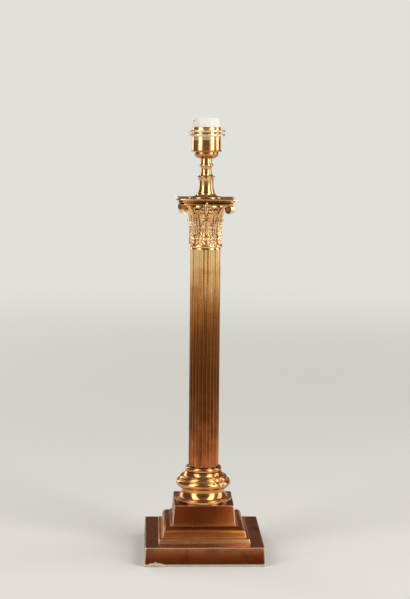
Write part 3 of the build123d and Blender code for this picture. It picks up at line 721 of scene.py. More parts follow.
    # Thin sheet over the abacus: dull on top, pale on its rim from wear and painted highlight.
    ROLLED_SHEET = Brass(
        "rolled_brass_sheet", "bright_brass", metal="#D8AE74", patches="#BC8E54", grime_and_shade_colour="#5C2C12",
        wear_and_highlight_colour="#FFF0D4", gloss=0.14, patch_size=20.0, speck_share=0.1, patina_and_shade_reach=1.6, edge_wear_and_highlight_reach=1.2,
        edge_wear_and_highlight_share=1.0, dent_depth=0.02,
    )
    # Holder's cap: the same turning in a duller, browner colour that is painted shade.
    TURNED_PAINTED_SHADE = Brass(
        "turned_brass_painted_shade", "bright_brass", metal="#CC9862", patches="#B07C48", grime_and_shade_colour="#4A220E",
        wear_and_highlight_colour="#FBE8C4", gloss=0.2, patch_size=20.0, speck_share=0.05, patina_and_shade_reach=1.6, dent_depth=0.015,
    )
    # Urea moulding: glossy, faintly yellowed white.
    WHITE_MOULDING = Grained(
        "urea_moulded_white", "white_moulding", colour="#F0EEE6", second="#E6E0D2", share=0.4,
        roughness=0.38, patch_size=30.0, grain_size=6.0, grain_depth=0.001,
    )
    # Zinc plate: grey with a faint yellow passivation, slightly blotched.
    ZINC = Grained(
        "steel_zinc_plated", "plated_steel", colour="#A9A9A2", second="#B5A97C", share=0.5, metallic=1.0,
        roughness=0.34, patch_size=6.0, grain_size=0.8, grain_depth=0.004,
    )
    # Grey iron as it came from the sand: dull, pitted, rusty in places.
    IRON = Grained(
        "iron_sand_cast", "cast_iron", colour="#4A4744", second="#6A4530", share=0.45, metallic=0.6,
        roughness=0.6, patch_size=10.0, grain_size=0.8, grain_depth=0.06,
    )
    # Soft black rubber with a bloom of dust.
    RUBBER = Grained(
        "rubber_moulded", "grommet_rubber", colour="#1C1B1A", second="#3A3835", share=0.5, roughness=0.65,
        patch_size=4.0, grain_size=0.4, grain_depth=0.01,
    )
    # Pressed wool felt: greenish beige, matt, with a halo of loose fibre.
    FELT = Grained(
        "wool_felt_pressed", "felt", colour="#C4B694", second="#9C9272", share=0.6, roughness=0.92,
        patch_size=3.0, grain_size=0.35, grain_depth=0.2, fuzz=0.5,
    )


# ----------------------------------------------------------------- the pieces

class SubAssembly:
    """Pieces of the lamp that belong together; each class builds its own and dresses them."""

    def build(self) -> None:
        """Make every piece of the sub-assembly."""
        raise NotImplementedError

    def add(self, name: str, bm: Mesh, finish: Finishes, node: str, body: str = "lamp") -> bpy.types.Object:
        """Finish a piece.

        Args:
            name: the piece's name.
            bm: its mesh in millimetres, which is freed.
            finish: what it is made of.
            node: the CAD node that it takes the place of.
            body: what it moves with.

        Returns:
            The piece.
        """
        bmesh.ops.scale(bm, vec=(MM, MM, MM), verts=bm.verts)
        piece = put_up(name, bm, finish.value.material())
        piece.data.shade_smooth()
        piece.data.set_sharp_from_angle(angle=CREASE)
        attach(piece, body)
        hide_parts(node)
        log.info("%s: %d faces in %s", name, len(piece.data.polygons), finish.value.name)
        return piece

    def dress(self, finish: Finishes, *nodes: str) -> None:
        """Give CAD nodes that stay in view their finish.

        Args:
            finish: what they are made of.
            nodes: their names.
        """
        for name in nodes:
            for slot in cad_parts[name].material_slots:
                slot.material = finish.value.material()
            log.info("%s: solid kept, in %s", name, finish.value.name)


@dataclass
class SquareBase(SubAssembly):
    """Felt, plinth and stepped pedestal, with what is screwed into them."""

    felt_side: float = 119.8
    felt_thickness: float = 1.4
    felt_ragged: float = 0.006
    tuft_from: float = -57.5
    tuft_to: float = -39.5
    tuft_height: float = 4.6
    tuft_depth: float = 2.3
    tuft_fibre: float = 0.35
    tuft_wall: float = 0.2
    pedestal_bottom: float = 19.6
    step_half: float = 46.1
    step_lean: float = 0.8
    step_height: float = 4.0
    die_height: float = 18.4
    tube_hole: float = 5.3
    wall: float = 3.0

    def build(self) -> None:
        """Make the felt and the pedestal; the plinth and the fittings keep their solids."""
        pad = sheet(90, 90, self.pad_point, self.felt_thickness)
        tuft = sheet(70, 14, self.tuft_point, self.tuft_wall)
        felt = gathered([pad, tuft])
        for vert in felt.verts:
            vert.co.z = max(vert.co.z, 0.0)
        self.add("felt_pad_fibres", felt, Finishes.FELT, "felt_pad")
        self.add("pedestal_mouldings", self.pedestal(), Finishes.CAST_PEDESTAL, "pedestal")
        self.dress(Finishes.CAST_PLINTH, "plinth")
        self.dress(Finishes.ZINC, "base_cover", "cover_screws", "earth_screw", "bottom_washer",
                   "bottom_lock_washer", "bottom_nut", "tie_tube")
        self.dress(Finishes.TURNED_BRIGHT, "earth_tag")
        self.dress(Finishes.IRON, "base_weight")
        self.dress(Finishes.RUBBER, "cable_grommet")

    def pad_point(self, across: float, up: float) -> Vector:
        """Where a place on the felt's top lies; its rim is slightly ragged.

        Args:
            across: -1 to 1 from left to right.
            up: 0 to 1 from front to back.

        Returns:
            The point.
        """
        back = 2.0 * up - 1.0
        point = Vector((across, back, 0.0)) * self.felt_side / 2.0
        point.z = self.felt_thickness
        ragged = noise.noise(point * 0.35) + 0.5 * noise.noise(point * 1.1)
        point.xy *= 1.0 + self.felt_ragged * ragged * max(abs(across), abs(back)) ** 24
        return point

    def tuft_point(self, across: float, up: float) -> Vector:
        """Where a place on the tuft lies that is torn out of the felt at the front left.

        Args:
            across: -1 to 1 from left to right.
            up: 0 to 1 from the pad's lower edge out and up to the plinth.

        Returns:
            The point.
        """
        x = (self.tuft_from + self.tuft_to + across * (self.tuft_to - self.tuft_from)) / 2.0
        swell = math.sqrt(max(0.0, 1.0 - across * across))
        swell *= 0.75 + 0.5 * noise.noise(Vector((x, 0, 0)) * 0.6)
        angle = math.pi * up
        fibre = self.tuft_fibre * noise.noise(Vector((x * 2.2, 5.0 * up, 3.0)))
        depth = self.tuft_depth * swell * math.sin(angle) ** 0.5 + fibre * swell
        height = self.tuft_height * swell * (1.0 - math.cos(angle)) / 2.0
        return Vector((x, 0.4 - self.felt_side / 2.0 - depth, max(0.05, height + fibre * math.sin(angle))))

    def pedestal(self) -> Mesh:
        """Step, cyma moulding and tapering die, one hollow casting.

        Returns:
            The pedestal's mesh.
        """
        outside = rising(
            self.pedestal_bottom,
            (self.step_half, 0.0), (self.step_half, 0.7),
            (self.step_half - self.step_lean, self.step_height - 0.7, 0.08), (43.3, 0.0), (42.0, 1.2),
            (41.6, 3.4), (36.6, 5.0, 1.2), (33.3, 2.0, -0.5), (32.1, 0.0), (32.1, 0.9), (31.7, 0.0),
            (30.05, self.die_height), (self.tube_hole, 0.0),
        )
        top = outside[-1][1]
        inside = [(self.tube_hole, top - self.wall), (27.0, top - self.wall), (28.6, top - self.die_height),
                  (38.6, self.pedestal_bottom + self.step_height), (39.0, self.pedestal_bottom)]
        return squared(outside + inside, soft=0.3, edge=0.6)


@dataclass
class RoundBase(SubAssembly):
    """Turned base between the pedestal and the column, knocked in a little at its front right."""

    bottom: float = 54.5
    flange: float = 29.0
    bore: float = 14.0
    knock: tuple[float, float, float] = (15.5, -20.5, 79.0)
    knock_reach: float = 11.0
    knock_depth: float = 1.5

    def build(self) -> None:
        """Make the one turning."""
        outline = rising(
            self.bottom,
            (self.bore, 0.0), (self.flange, 0.0), (self.flange, 2.7), (26.9, 0.0), (26.9, 0.8), (25.4, 0.0),
            (21.8, 9.4, -1.3), (23.4, 0.0), (23.4, 1.0), (25.4, 0.0), (26.4, 7.2, 2.0), (25.6, 0.0),
            (25.6, 0.7), (24.6, 0.0), (23.2, 3.0, 0.5), (22.5, 0.0), (22.5, 0.7), (21.4, 0.0),
            (18.3, 4.0, -0.3), (17.3, 0.0), (17.3, 5.0, 1.3), (self.bore, 0.0),
        )
        base = spun(outline, soft=0.2, count=160)
        for vert in base.verts:
            away = (vert.co - Vector(self.knock)).length / self.knock_reach
            if vert.co.xy.length > self.bore + 2.0 and away < 1.0:
                wave = 0.4 + noise.noise(vert.co * 0.24)
                dent = self.knock_depth * wave * (1.0 - away * away) ** 2
                vert.co.xy -= vert.co.xy.normalized() * max(0.0, dent)
        self.add("round_base_turning", base, Finishes.TURNED_BASE, "round_base")


@dataclass
class Column(SubAssembly):
    """Fluted tube with a bush at each end."""

    bottom: float = 85.0
    top: float = 316.4
    radius: float = 15.4
    flutes: int = 24
    flute_half: float = 1.55
    flute_depth: float = 1.0
    flute_foot: float = 91.0
    flute_head: float = 312.6
    flute_faces: int = 12
    end_faces: int = 6

    def build(self) -> None:
        """Make the tube; the bushes keep their solids."""
        self.add("column_flutes", self.tube(), Finishes.DRAWN_COLUMN, "column")
        self.dress(Finishes.ZINC, "lower_column_bush", "upper_column_bush")

    def opening(self, height: float) -> float:
        """How wide a flute is at a height, from 0 beyond its rounded ends to 1."""
        beyond = max(self.flute_foot - height, height - self.flute_head, -self.flute_half) / self.flute_half
        return math.sqrt(max(0.0, 1.0 - (beyond + 1.0) ** 2))

    def tube(self) -> Mesh:
        """Grid wrapped round the axis and hollowed along each flute, closed at both ends.

        Returns:
            The tube's mesh.
        """
        arcs = [self.flute_half * (1.0 - math.sin(TURN / 4.0 * step / self.end_faces))
                for step in range(self.end_faces + 1)]
        low = [self.flute_foot + arc for arc in arcs]
        high = [self.flute_head - arc for arc in arcs]
        levels = sorted([self.bottom, *low, *high, self.top])
        columns, rows = self.flutes * self.flute_faces, len(levels) - 1
        pitch = TURN / self.flutes
        half = self.flute_faces // 2
        bm = bmesh.new()
        bmesh.ops.create_grid(bm, x_segments=columns, y_segments=rows, size=1.0)
        for vert in bm.verts:
            height = levels[round((vert.co.y + 1.0) / 2.0 * rows)]
            flute, place = divmod(round((vert.co.x + 1.0) / 2.0 * columns), self.flute_faces)
            across = (place - half) / (half - 1)
            depth = self.opening(height)
            if abs(across) > 1.0:
                angle, radius = math.copysign(pitch / 2.0, across), self.radius
            else:
                angle = across * self.flute_half / self.radius * depth
                radius = self.radius - self.flute_depth * depth * math.sqrt(1.0 - across * across)
            turn = flute * pitch + angle
            vert.co = Vector((radius * math.sin(turn), -radius * math.cos(turn), height))
        return closed_up(bm)


@dataclass(frozen=True)
class Acanthus:
    """A leaf that stands on the bell, veined up to its lobes, and rolls over at its tip."""

    height: float
    width: float
    curl: float
    lean: float
    lobes: int
    stand: float
    foot: float = 317.0
    wall: float = 0.8
    roll: float = 2.5
    cup: float = 0.5
    rib: float = 0.6
    rib_half: float = 0.6
    pipe: float = 0.42
    pipes: float = 2.0
    lobe_depth: float = 0.24
    eye_depth: float = 0.8
    eye_place: float = 0.85
    eye_half: float = 0.2
    eye_length: float = 0.14

    def centreline(self, up: float) -> tuple[float, float, float]:
        """Where the leaf's middle is at a share of its length.

        Args:
            up: 0 to 1 from foot to tip.

        Returns:
            How far out from the bell it is, how high above its foot, and how far it has rolled over.
        """
        straight = self.height - self.curl
        way = up * (straight + self.curl * self.roll)
        if way <= straight:
            return self.lean * (way / straight) ** 2, way, 0.0
        turn = (way - straight) / self.curl
        out = self.lean + self.curl * (1.0 - math.cos(turn))
        return out, straight + self.curl * math.sin(turn), turn

    def half_width(self, up: float) -> float:
        """How far the leaf reaches to each side, in and out with its lobes.

        Args:
            up: 0 to 1 from foot to tip.

        Returns:
            Half its width there.
        """
        full = 0.8 + 0.2 * math.sin(math.pi * up) if up < 0.5 else 1.0 - (2.0 * up - 1.0) ** 2.4 * 0.8
        lobe = abs(math.sin(math.pi * self.lobes * up)) ** 0.5
        return self.width / 2.0 * full * (1.0 - self.lobe_depth * (1.0 - lobe))

    def point(self, across: float, up: float) -> Vector:
        """Where a place on the leaf lies.

        Args:
            across: -1 to 1 from edge to edge.
            up: 0 to 1 from foot to tip.

        Returns:
            The point, for a leaf at the front.
        """
        out, rise, turn = self.centreline(up)
        side = across * self.half_width(up)
        edge = abs(across)
        gap = abs(self.lobes * up - round(self.lobes * up))
        relief = self.rib * math.exp(-(side / self.rib_half) ** 2) + self.cup * edge * edge
        relief += self.pipe * math.cos(TURN * self.pipes * edge) * min(1.0, 4.0 * up)
        eye = ((edge - self.eye_place) / self.eye_half) ** 2 + (gap / self.eye_length) ** 2
        relief -= self.eye_depth * math.exp(-eye)
        radius = self.stand + out + relief * math.cos(turn)
        angle = side / (self.stand + self.lean)
        height = self.foot + rise - relief * math.sin(turn)
        return Vector((radius * math.sin(angle), -radius * math.cos(angle), height))

    def row(self, count: int, first: float) -> Mesh:
        """A ring of the leaves.

        Args:
            count: how many there are.
            first: how far the first is turned from the front, in degrees.

        Returns:
            Their mesh.
        """
        return repeated(sheet(36, 14 * self.lobes, self.point, self.wall), count, first)


@dataclass
class Capital(SubAssembly):
    """Bell, leaves, scrolls, flowers, abacus and its plate."""

    bottom: float = 313.8
    bore: float = 10.5
    astragal: float = 16.2
    bell: float = 14.8
    throat: float = 15.8
    lip: float = 20.6
    drum_top: float = 335.0
    bend: float = 12.0
    flare: float = 7.0
    abacus_bottom: float = 357.0
    abacus_side: float = 56.0
    plate_bottom: float = 362.1
    plate_side: float = 60.4
    hollow: float = 4.0
    horn: float = 4.2
    volute_centre: Point = (31.8, 352.9)
    volute_radius: float = 4.2
    volute_eye: float = 1.35
    helix_centre: Point = (-5.0, 351.9)
    helix_radius: float = 2.6
    helix_width: float = 2.4
    petal_half: float = 1.75
    petal_length: float = 4.9
    fleuron_height: float = 355.6
    lower: Acanthus = Acanthus(height=10.2, width=11.8, curl=0.7, lean=0.0, lobes=3, stand=15.8)
    upper: Acanthus = Acanthus(height=23.6, width=12.0, curl=1.0, lean=0.6, lobes=5, stand=15.2)
    calyx: Acanthus = Acanthus(height=18.5, width=12.6, curl=1.4, lean=3.0, lobes=4, stand=15.1, foot=333.0)

    def build(self) -> None:
        """Make the casting piece by piece, and the plate on it."""
        abacus = rising(
            self.abacus_bottom,
            (0.925, 0.0), (0.944, 0.1), (0.95, 0.4), (0.95, 0.7), (0.944, 0.4), (0.926, 0.1), (0.93, 0.3),
            (0.95, 0.4), (0.982, 0.3), (1.0, 0.2), (1.0, 1.4), (0.988, 0.2), (0.988, 0.6),
        )
        plate = rising(self.plate_bottom, (0.994, 0.0), (1.0, 0.25), (1.0, 0.8), (0.994, 0.25))
        for name, piece, finish in (
            ("bell", self.bell_body(), Finishes.CAST_CAPITAL),
            ("lower_leaves", self.lower.row(8, 22.5), Finishes.CAST_CAPITAL),
            ("upper_leaves", self.upper.row(8, 0.0), Finishes.CAST_CAPITAL),
            ("calyx_leaves", self.calyx.row(8, 22.5), Finishes.CAST_CAPITAL),
            ("corner_volutes", self.corner_volutes(), Finishes.CAST_CAPITAL),
            ("inner_helices", self.inner_helices(), Finishes.CAST_CAPITAL),
            ("fleurons", self.fleurons(), Finishes.CAST_PAINTED_SHADE),
            ("abacus", self.slab(self.abacus_side, abacus), Finishes.CAST_PAINTED_SHADE),
        ):
            self.add("capital_" + name, piece, finish, "capital")
        sheet_metal = self.slab(self.plate_side, plate)
        self.add("abacus_plate_sheet", sheet_metal, Finishes.ROLLED_SHEET, "abacus_plate")

    def bell_body(self) -> Mesh:
        """Astragal, drum and flaring lip.

        Returns:
            The bell's mesh.
        """
        return spun(rising(
            self.bottom,
            (self.bore, 0.0), (self.astragal, 0.0), (self.astragal, 3.2, 0.9), (self.bell, 0.0),
            (self.bell, 18.0), (self.throat, self.bend), (self.lip - 0.4, self.flare, -1.0), (self.lip, 0.6),
            (self.lip, 1.8), (self.lip - 0.6, 0.6), (self.bore, 0.0),
        ))

    def bell_radius(self, height: float) -> float:
        """How far the bell's face is from the axis at a height.

        Args:
            height: the height above the table.

        Returns:
            The radius.
        """
        above = max(0.0, height - self.drum_top)
        if above < self.bend:
            return self.bell + (self.throat - self.bell) * above / self.bend
        done = min(1.0, (above - self.bend) / self.flare)
        return self.throat + (self.lip - self.throat) * done * done

    def ribbon(self, path: Sequence[Vector], sides: Sequence[Vector], widths: Sequence[float],
               section: Sequence[Point]) -> Mesh:
        """Pull a section along a path, kept square to it.

        Args:
            path: the points that it follows.
            sides: which way its width lies at each of them.
            widths: how wide it is at each.
            section: its corners, as shares of the width and as depths.

        Returns:
            The ribbon's mesh.
        """
        places = []
        for index, point in enumerate(path):
            ahead = (path[min(index + 1, len(path) - 1)] - path[max(index - 1, 0)]).normalized()
            side = sides[index].normalized()
            out = ahead.cross(side).normalized()
            place = Matrix((side * widths[index], out, ahead)).transposed().to_4x4()
            place.translation = point
            places.append(place)
        return swept(section, places)

    def corner_volutes(self) -> Mesh:
        """Four channelled scrolls under the horns, each on a bowed stalk, with a button in its eye.

        Returns:
            Their mesh.
        """
        out, height = self.volute_centre
        flat = bent((15.4, 334.6), (20.0, 357.4), (out, height + self.volute_radius), count=14)
        flat += rolled(self.volute_centre, self.volute_radius, eye=1.0, turns=1.75, count=46)
        path = [Vector((0.0, -x, z)) for x, z in flat]
        sides = [Vector((1.0, 0.0, 0.0))] * len(path)
        widths = [min(5.0, 2.6 + 0.12 * index) for index in range(len(path))]
        half = [(0.08, 0.5), (0.22, 0.5), (0.34, 0.0), (0.5, 0.0), (0.5, 1.0)]
        channel = [(0.0, 0.1), *half, *((-x, depth) for x, depth in reversed(half))]
        scroll = self.ribbon(path, sides, widths, channel)
        stretch = Matrix.Diagonal((2.1, 1.0, 1.0, 1.0))
        bmesh.ops.create_uvsphere(scroll, u_segments=20, v_segments=12, radius=self.volute_eye,
                                  matrix=Matrix.Translation((0.0, -out, height)) @ stretch)
        return repeated(scroll, 4, 45.0)

    def inner_helices(self) -> Mesh:
        """Eight small scrolls in pairs that curl towards the middle of each face.

        Returns:
            Their mesh.
        """
        top = (self.helix_centre[0], self.helix_centre[1] + self.helix_radius)
        flat = bent((-8.4, 336.5), (-10.0, 354.6), top, count=14)
        flat += rolled(self.helix_centre, self.helix_radius, eye=0.7, turns=1.5, count=34)
        path, sides = [], []
        for across, height in flat:
            angle = across / 18.0
            outward = Vector((math.sin(angle), -math.cos(angle), 0.0))
            path.append(outward * (self.bell_radius(height) + 0.8) + Vector((0.0, 0.0, height)))
            sides.append(outward)
        section = [(-0.5, -0.45), (0.3, -0.45), (0.5, -0.2), (0.5, 0.2), (0.3, 0.45), (-0.5, 0.45)]
        left = self.ribbon(path, sides, [self.helix_width] * len(path), section)
        right = left.copy()
        bmesh.ops.scale(right, vec=(-1.0, 1.0, 1.0), verts=right.verts)
        bmesh.ops.recalc_face_normals(right, faces=right.faces)
        return repeated(gathered([left, right]), 4)

    def petal_point(self, across: float, up: float) -> Vector:
        """Where a place on a fleuron's petal lies.

        Args:
            across: -1 to 1 from edge to edge.
            up: 0 to 1 from the button to the tip.

        Returns:
            The point, for a petal in the flat that points along Y.
        """
        half = self.petal_half * math.sin(math.pi * (0.12 + 0.86 * up)) ** 0.7
        vein = 0.25 * math.exp(-(across / 0.2) ** 2)
        cup = 1.1 * math.sin(math.pi * 0.8 * up) - 0.55 * across * across + vein
        return Vector((across * half, 1.0 + self.petal_length * up, cup))

    def fleurons(self) -> Mesh:
        """Six-petalled flower with a button on each face of the abacus.

        Returns:
            Their mesh.
        """
        flower = repeated(sheet(10, 14, self.petal_point, 0.6), 6)
        bmesh.ops.create_uvsphere(flower, u_segments=20, v_segments=12, radius=1.5,
                                  matrix=Matrix.Translation((0.0, 0.0, 0.9)))
        bmesh.ops.create_cone(flower, cap_ends=True, segments=24, radius1=2.6, radius2=3.4, depth=3.2,
                              matrix=Matrix.Translation((0.0, 0.0, -1.4)))
        stand = Matrix.Translation((0.0, self.hollow - self.abacus_side / 2 - 0.2, self.fleuron_height))
        turn = Matrix.Rotation(TURN / 4, 4, "X") @ Matrix.Diagonal((0.72, 0.72, 0.4, 1.0))
        bmesh.ops.transform(flower, matrix=stand @ turn, verts=flower.verts)
        return repeated(flower, 4)

    def plan(self, side: float) -> list[Point]:
        """Square with hollow sides and cut corners, drawn round from the front.

        Args:
            side: its width over the horns.

        Returns:
            Its corners.
        """
        far, near = side / 2.0, side / 2.0 - self.horn
        front = [(-near, -far), *curved((-near, -far), (near, -far), -self.hollow, count=20)]
        points = []
        for quarter in range(4):
            turn = Matrix.Rotation(quarter * TURN / 4, 2)
            points += [tuple(turn @ Vector(point)) for point in front]
        return points

    def slab(self, side: float, levels: Sequence[Point]) -> Mesh:
        """Stack the plan into a moulded slab.

        Args:
            side: the plan's width.
            levels: for each height, from below, the plan's share.

        Returns:
            The slab's mesh.
        """
        places = [Matrix.Translation((0.0, 0.0, height)) @ Matrix.Diagonal((share, share, 1.0, 1.0))
                  for share, height in levels]
        return swept(self.plan(side), places)


@dataclass
class Neck(SubAssembly):
    """Turned nozzle between the capital and the lampholder."""

    bottom: float = 363.4
    wire_bore: float = 3.4
    tapped_bore: float = 5.03
    tapped_depth: float = 14.0

    def build(self) -> None:
        """Make the one turning, nipple and all."""
        outline = rising(
            self.bottom,
            (self.tapped_bore, 0.0), (17.3, 0.0), (17.3, 0.9), (17.0, 0.3), (14.0, 0.3), (8.6, 5.0, -1.5),
            (7.3, 5.0, -0.2), (7.4, 5.1, -0.03), (7.55, 3.0), (7.65, 0.3), (9.3, 0.9, -0.25), (9.3, 0.6),
            (6.6, 1.5, -0.3), (5.3, 4.4, -0.3), (5.6, 4.0, -0.1), (6.3, 0.0), (6.3, 3.0, 0.85), (5.8, 0.0),
            (5.8, 5.2), (4.97, 0.0), (4.97, 7.0), (4.5, 0.5), (self.wire_bore, 0.0),
        )
        shoulder = self.bottom + self.tapped_depth
        inside = [(self.wire_bore, shoulder), (self.tapped_bore, shoulder)]
        turning = spun(outline + inside, soft=0.12, count=112)
        self.add("neck_turning", turning, Finishes.TURNED_BRIGHT, "neck")


@dataclass
class Lampholder(SubAssembly):
    """Domed cap, threaded shell, two shade rings, moulded insert and sprung contacts."""

    cap_bottom: float = 402.9
    cap_bore: float = 5.03
    cap_dome: float = 12.05
    cap_rim: float = 14.7
    cap_socket: float = 8.0
    shell_bottom: float = 411.2
    shell_radius: float = 14.45
    shell_bore: float = 13.4
    thread_bottom: float = 420.2
    thread_top: float = 433.5
    thread_depth: float = 0.12
    thread_pitch: float = 1.5
    ring_radius: float = 18.85
    ring_bore: float = 14.5
    ring_round: float = 0.6
    ring_thickness: float = 2.2
    upper_ring: float = 429.0
    lower_ring: float = 425.1
    contact_offset: float = 5.5
    spring_bottom: float = 416.6
    spring_length: float = 5.1
    spring_radius: float = 2.3
    spring_wire: float = 0.4
    spring_turns: int = 4
    spring_pressed: float = 0.31

    def build(self) -> None:
        """Make the turned shell pieces; the moulding and the contacts keep their solids."""
        self.add("lampholder_dome", self.dome(), Finishes.TURNED_PAINTED_SHADE, "lampholder_cap")
        self.add("lampholder_threaded_shell", self.shell(), Finishes.TURNED_BRIGHT, "lampholder_shell")
        for name, bottom in (("upper_shade_ring", self.upper_ring), ("lower_shade_ring", self.lower_ring)):
            self.add(name + "_turning", self.ring(bottom), Finishes.TURNED_PAINTED_HIGHLIGHT, name, body=name)
        self.dress(Finishes.WHITE_MOULDING, "lamp_insert", "terminal_block")
        self.dress(Finishes.TURNED_BRIGHT, "contact_barrels", "live_plunger", "neutral_plunger")
        self.dress(Finishes.ZINC, "terminal_screws", "cap_grub_screw")
        for side, place in (("live", -self.contact_offset), ("neutral", self.contact_offset)):
            spring = self.add(side + "_contact_coil", self.coil(place), Finishes.ZINC, side + "_spring")
            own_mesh(spring)

    def coil(self, place: float) -> Mesh:
        """Contact spring of round wire.

        Args:
            place: how far behind the lamp's axis it stands.

        Returns:
            The spring's mesh.
        """
        half = self.spring_wire / 2.0
        start = Matrix.Translation((self.spring_radius - half, 0.0, self.spring_bottom + half))
        bm = bmesh.new()
        bmesh.ops.create_circle(bm, segments=8, radius=half, matrix=start @ Matrix.Rotation(TURN / 4, 4, "X"))
        steps = 20 * self.spring_turns
        bmesh.ops.spin(
            bm, geom=bm.verts[:] + bm.edges[:], cent=(0, 0, 0), axis=(0, 0, 1), steps=steps,
            angle=TURN * self.spring_turns, dvec=(0.0, 0.0, (self.spring_length - self.spring_wire) / steps),
        )
        closed_up(bm)
        bmesh.ops.translate(bm, vec=(0.0, place, 0.0), verts=bm.verts)
        return bm

    def dome(self) -> Mesh:
        """Dome with a rolled bead round its rim, a spigot above and a socket for the neck's nipple.

        Returns:
            The cap's mesh.
        """
        return spun(rising(
            self.cap_bottom,
            (self.cap_bore, 0.0), (5.8, 0.0), (self.cap_dome, 4.0, 1.4), (self.cap_dome, 0.3),
            (self.cap_dome, 1.9), (self.cap_dome, 0.3), (self.cap_rim, 0.3), (self.cap_rim, 1.5, 0.6),
            (13.35, 0.0), (13.35, 2.2), (11.85, 0.0), (10.7, -4.0), (self.cap_socket, -3.1),
            (self.cap_socket, 4.1), (self.cap_bore, 0.0),
        ), soft=0.12, count=112)

    def shell(self) -> Mesh:
        """Sleeve with a thread cut round its upper part.

        Returns:
            The shell's mesh.
        """
        crest, root = self.shell_radius, self.shell_radius - self.thread_depth
        sleeve = spun(rising(
            self.shell_bottom,
            (self.shell_bore, 0.0), (crest, 0.0), (crest, 0.3), (crest, 7.2), (crest, 0.3), (root, 0.2),
            (root, 0.3), (root, 14.0), (root, 0.3), (root - 0.3, 0.3), (self.shell_bore, 0.0),
        ), soft=0.1, count=112)
        ridge = bmesh.new()
        edges = wire(ridge, [Vector((radius, 0.0, height)) for radius, height in rising(
            self.thread_bottom,
            (root - 0.1, 0.0), (root, 0.1), (crest, 0.5), (crest, 0.3), (root, 0.5), (root - 0.1, 0.1),
        )], closed=True)
        turns = (self.thread_top - self.thread_bottom) / self.thread_pitch - 1.0
        steps = 72
        bmesh.ops.spin(
            ridge, geom=ridge.verts[:] + edges, cent=(0, 0, 0), axis=(0, 0, 1), angle=TURN * turns,
            steps=round(turns * steps), dvec=(0.0, 0.0, self.thread_pitch / steps),
        )
        return gathered([sleeve, closed_up(ridge)])

    def ring(self, bottom: float) -> Mesh:
        """Shade ring with a rounded rim.

        Args:
            bottom: the height of its lower face.

        Returns:
            The ring's mesh.
        """
        rim = self.ring_radius - self.ring_round
        return spun(rising(bottom, (self.ring_bore, 0.0), (rim, 0.0),
                           (rim, self.ring_thickness, self.ring_round),
                           (self.ring_bore, 0.0)), soft=0.2, count=112)


# ---------------------------------------------------------- studio and camera

@dataclass(frozen=True)
class SoftBox:
    """A soft box round the lamp, in metres and watts, at a bearing in degrees from the front to the right."""

    name: str
    bearing: float
    reach: float
    middle: float
    width: float
    height: float
    power: float

    def stand(self, aim: float) -> None:
        """Put up the light, turned to a height on the lamp's axis.

        Args:
            aim: the height in metres.
        """
        light = bpy.data.lights.new(self.name, "AREA")
        light.shape = "RECTANGLE"
        light.size = self.width
        light.size_y = self.height
        light.energy = self.power
        box = bpy.data.objects.new(self.name, light)
        turn = Matrix.Rotation(math.radians(self.bearing), 3, "Z")
        box.location = turn @ Vector((0.0, -self.reach, self.middle))
        box.rotation_euler = (Vector((0.0, 0.0, aim)) - box.location).to_track_quat("-Z", "Y").to_euler()
        bpy.context.scene.collection.objects.link(box)


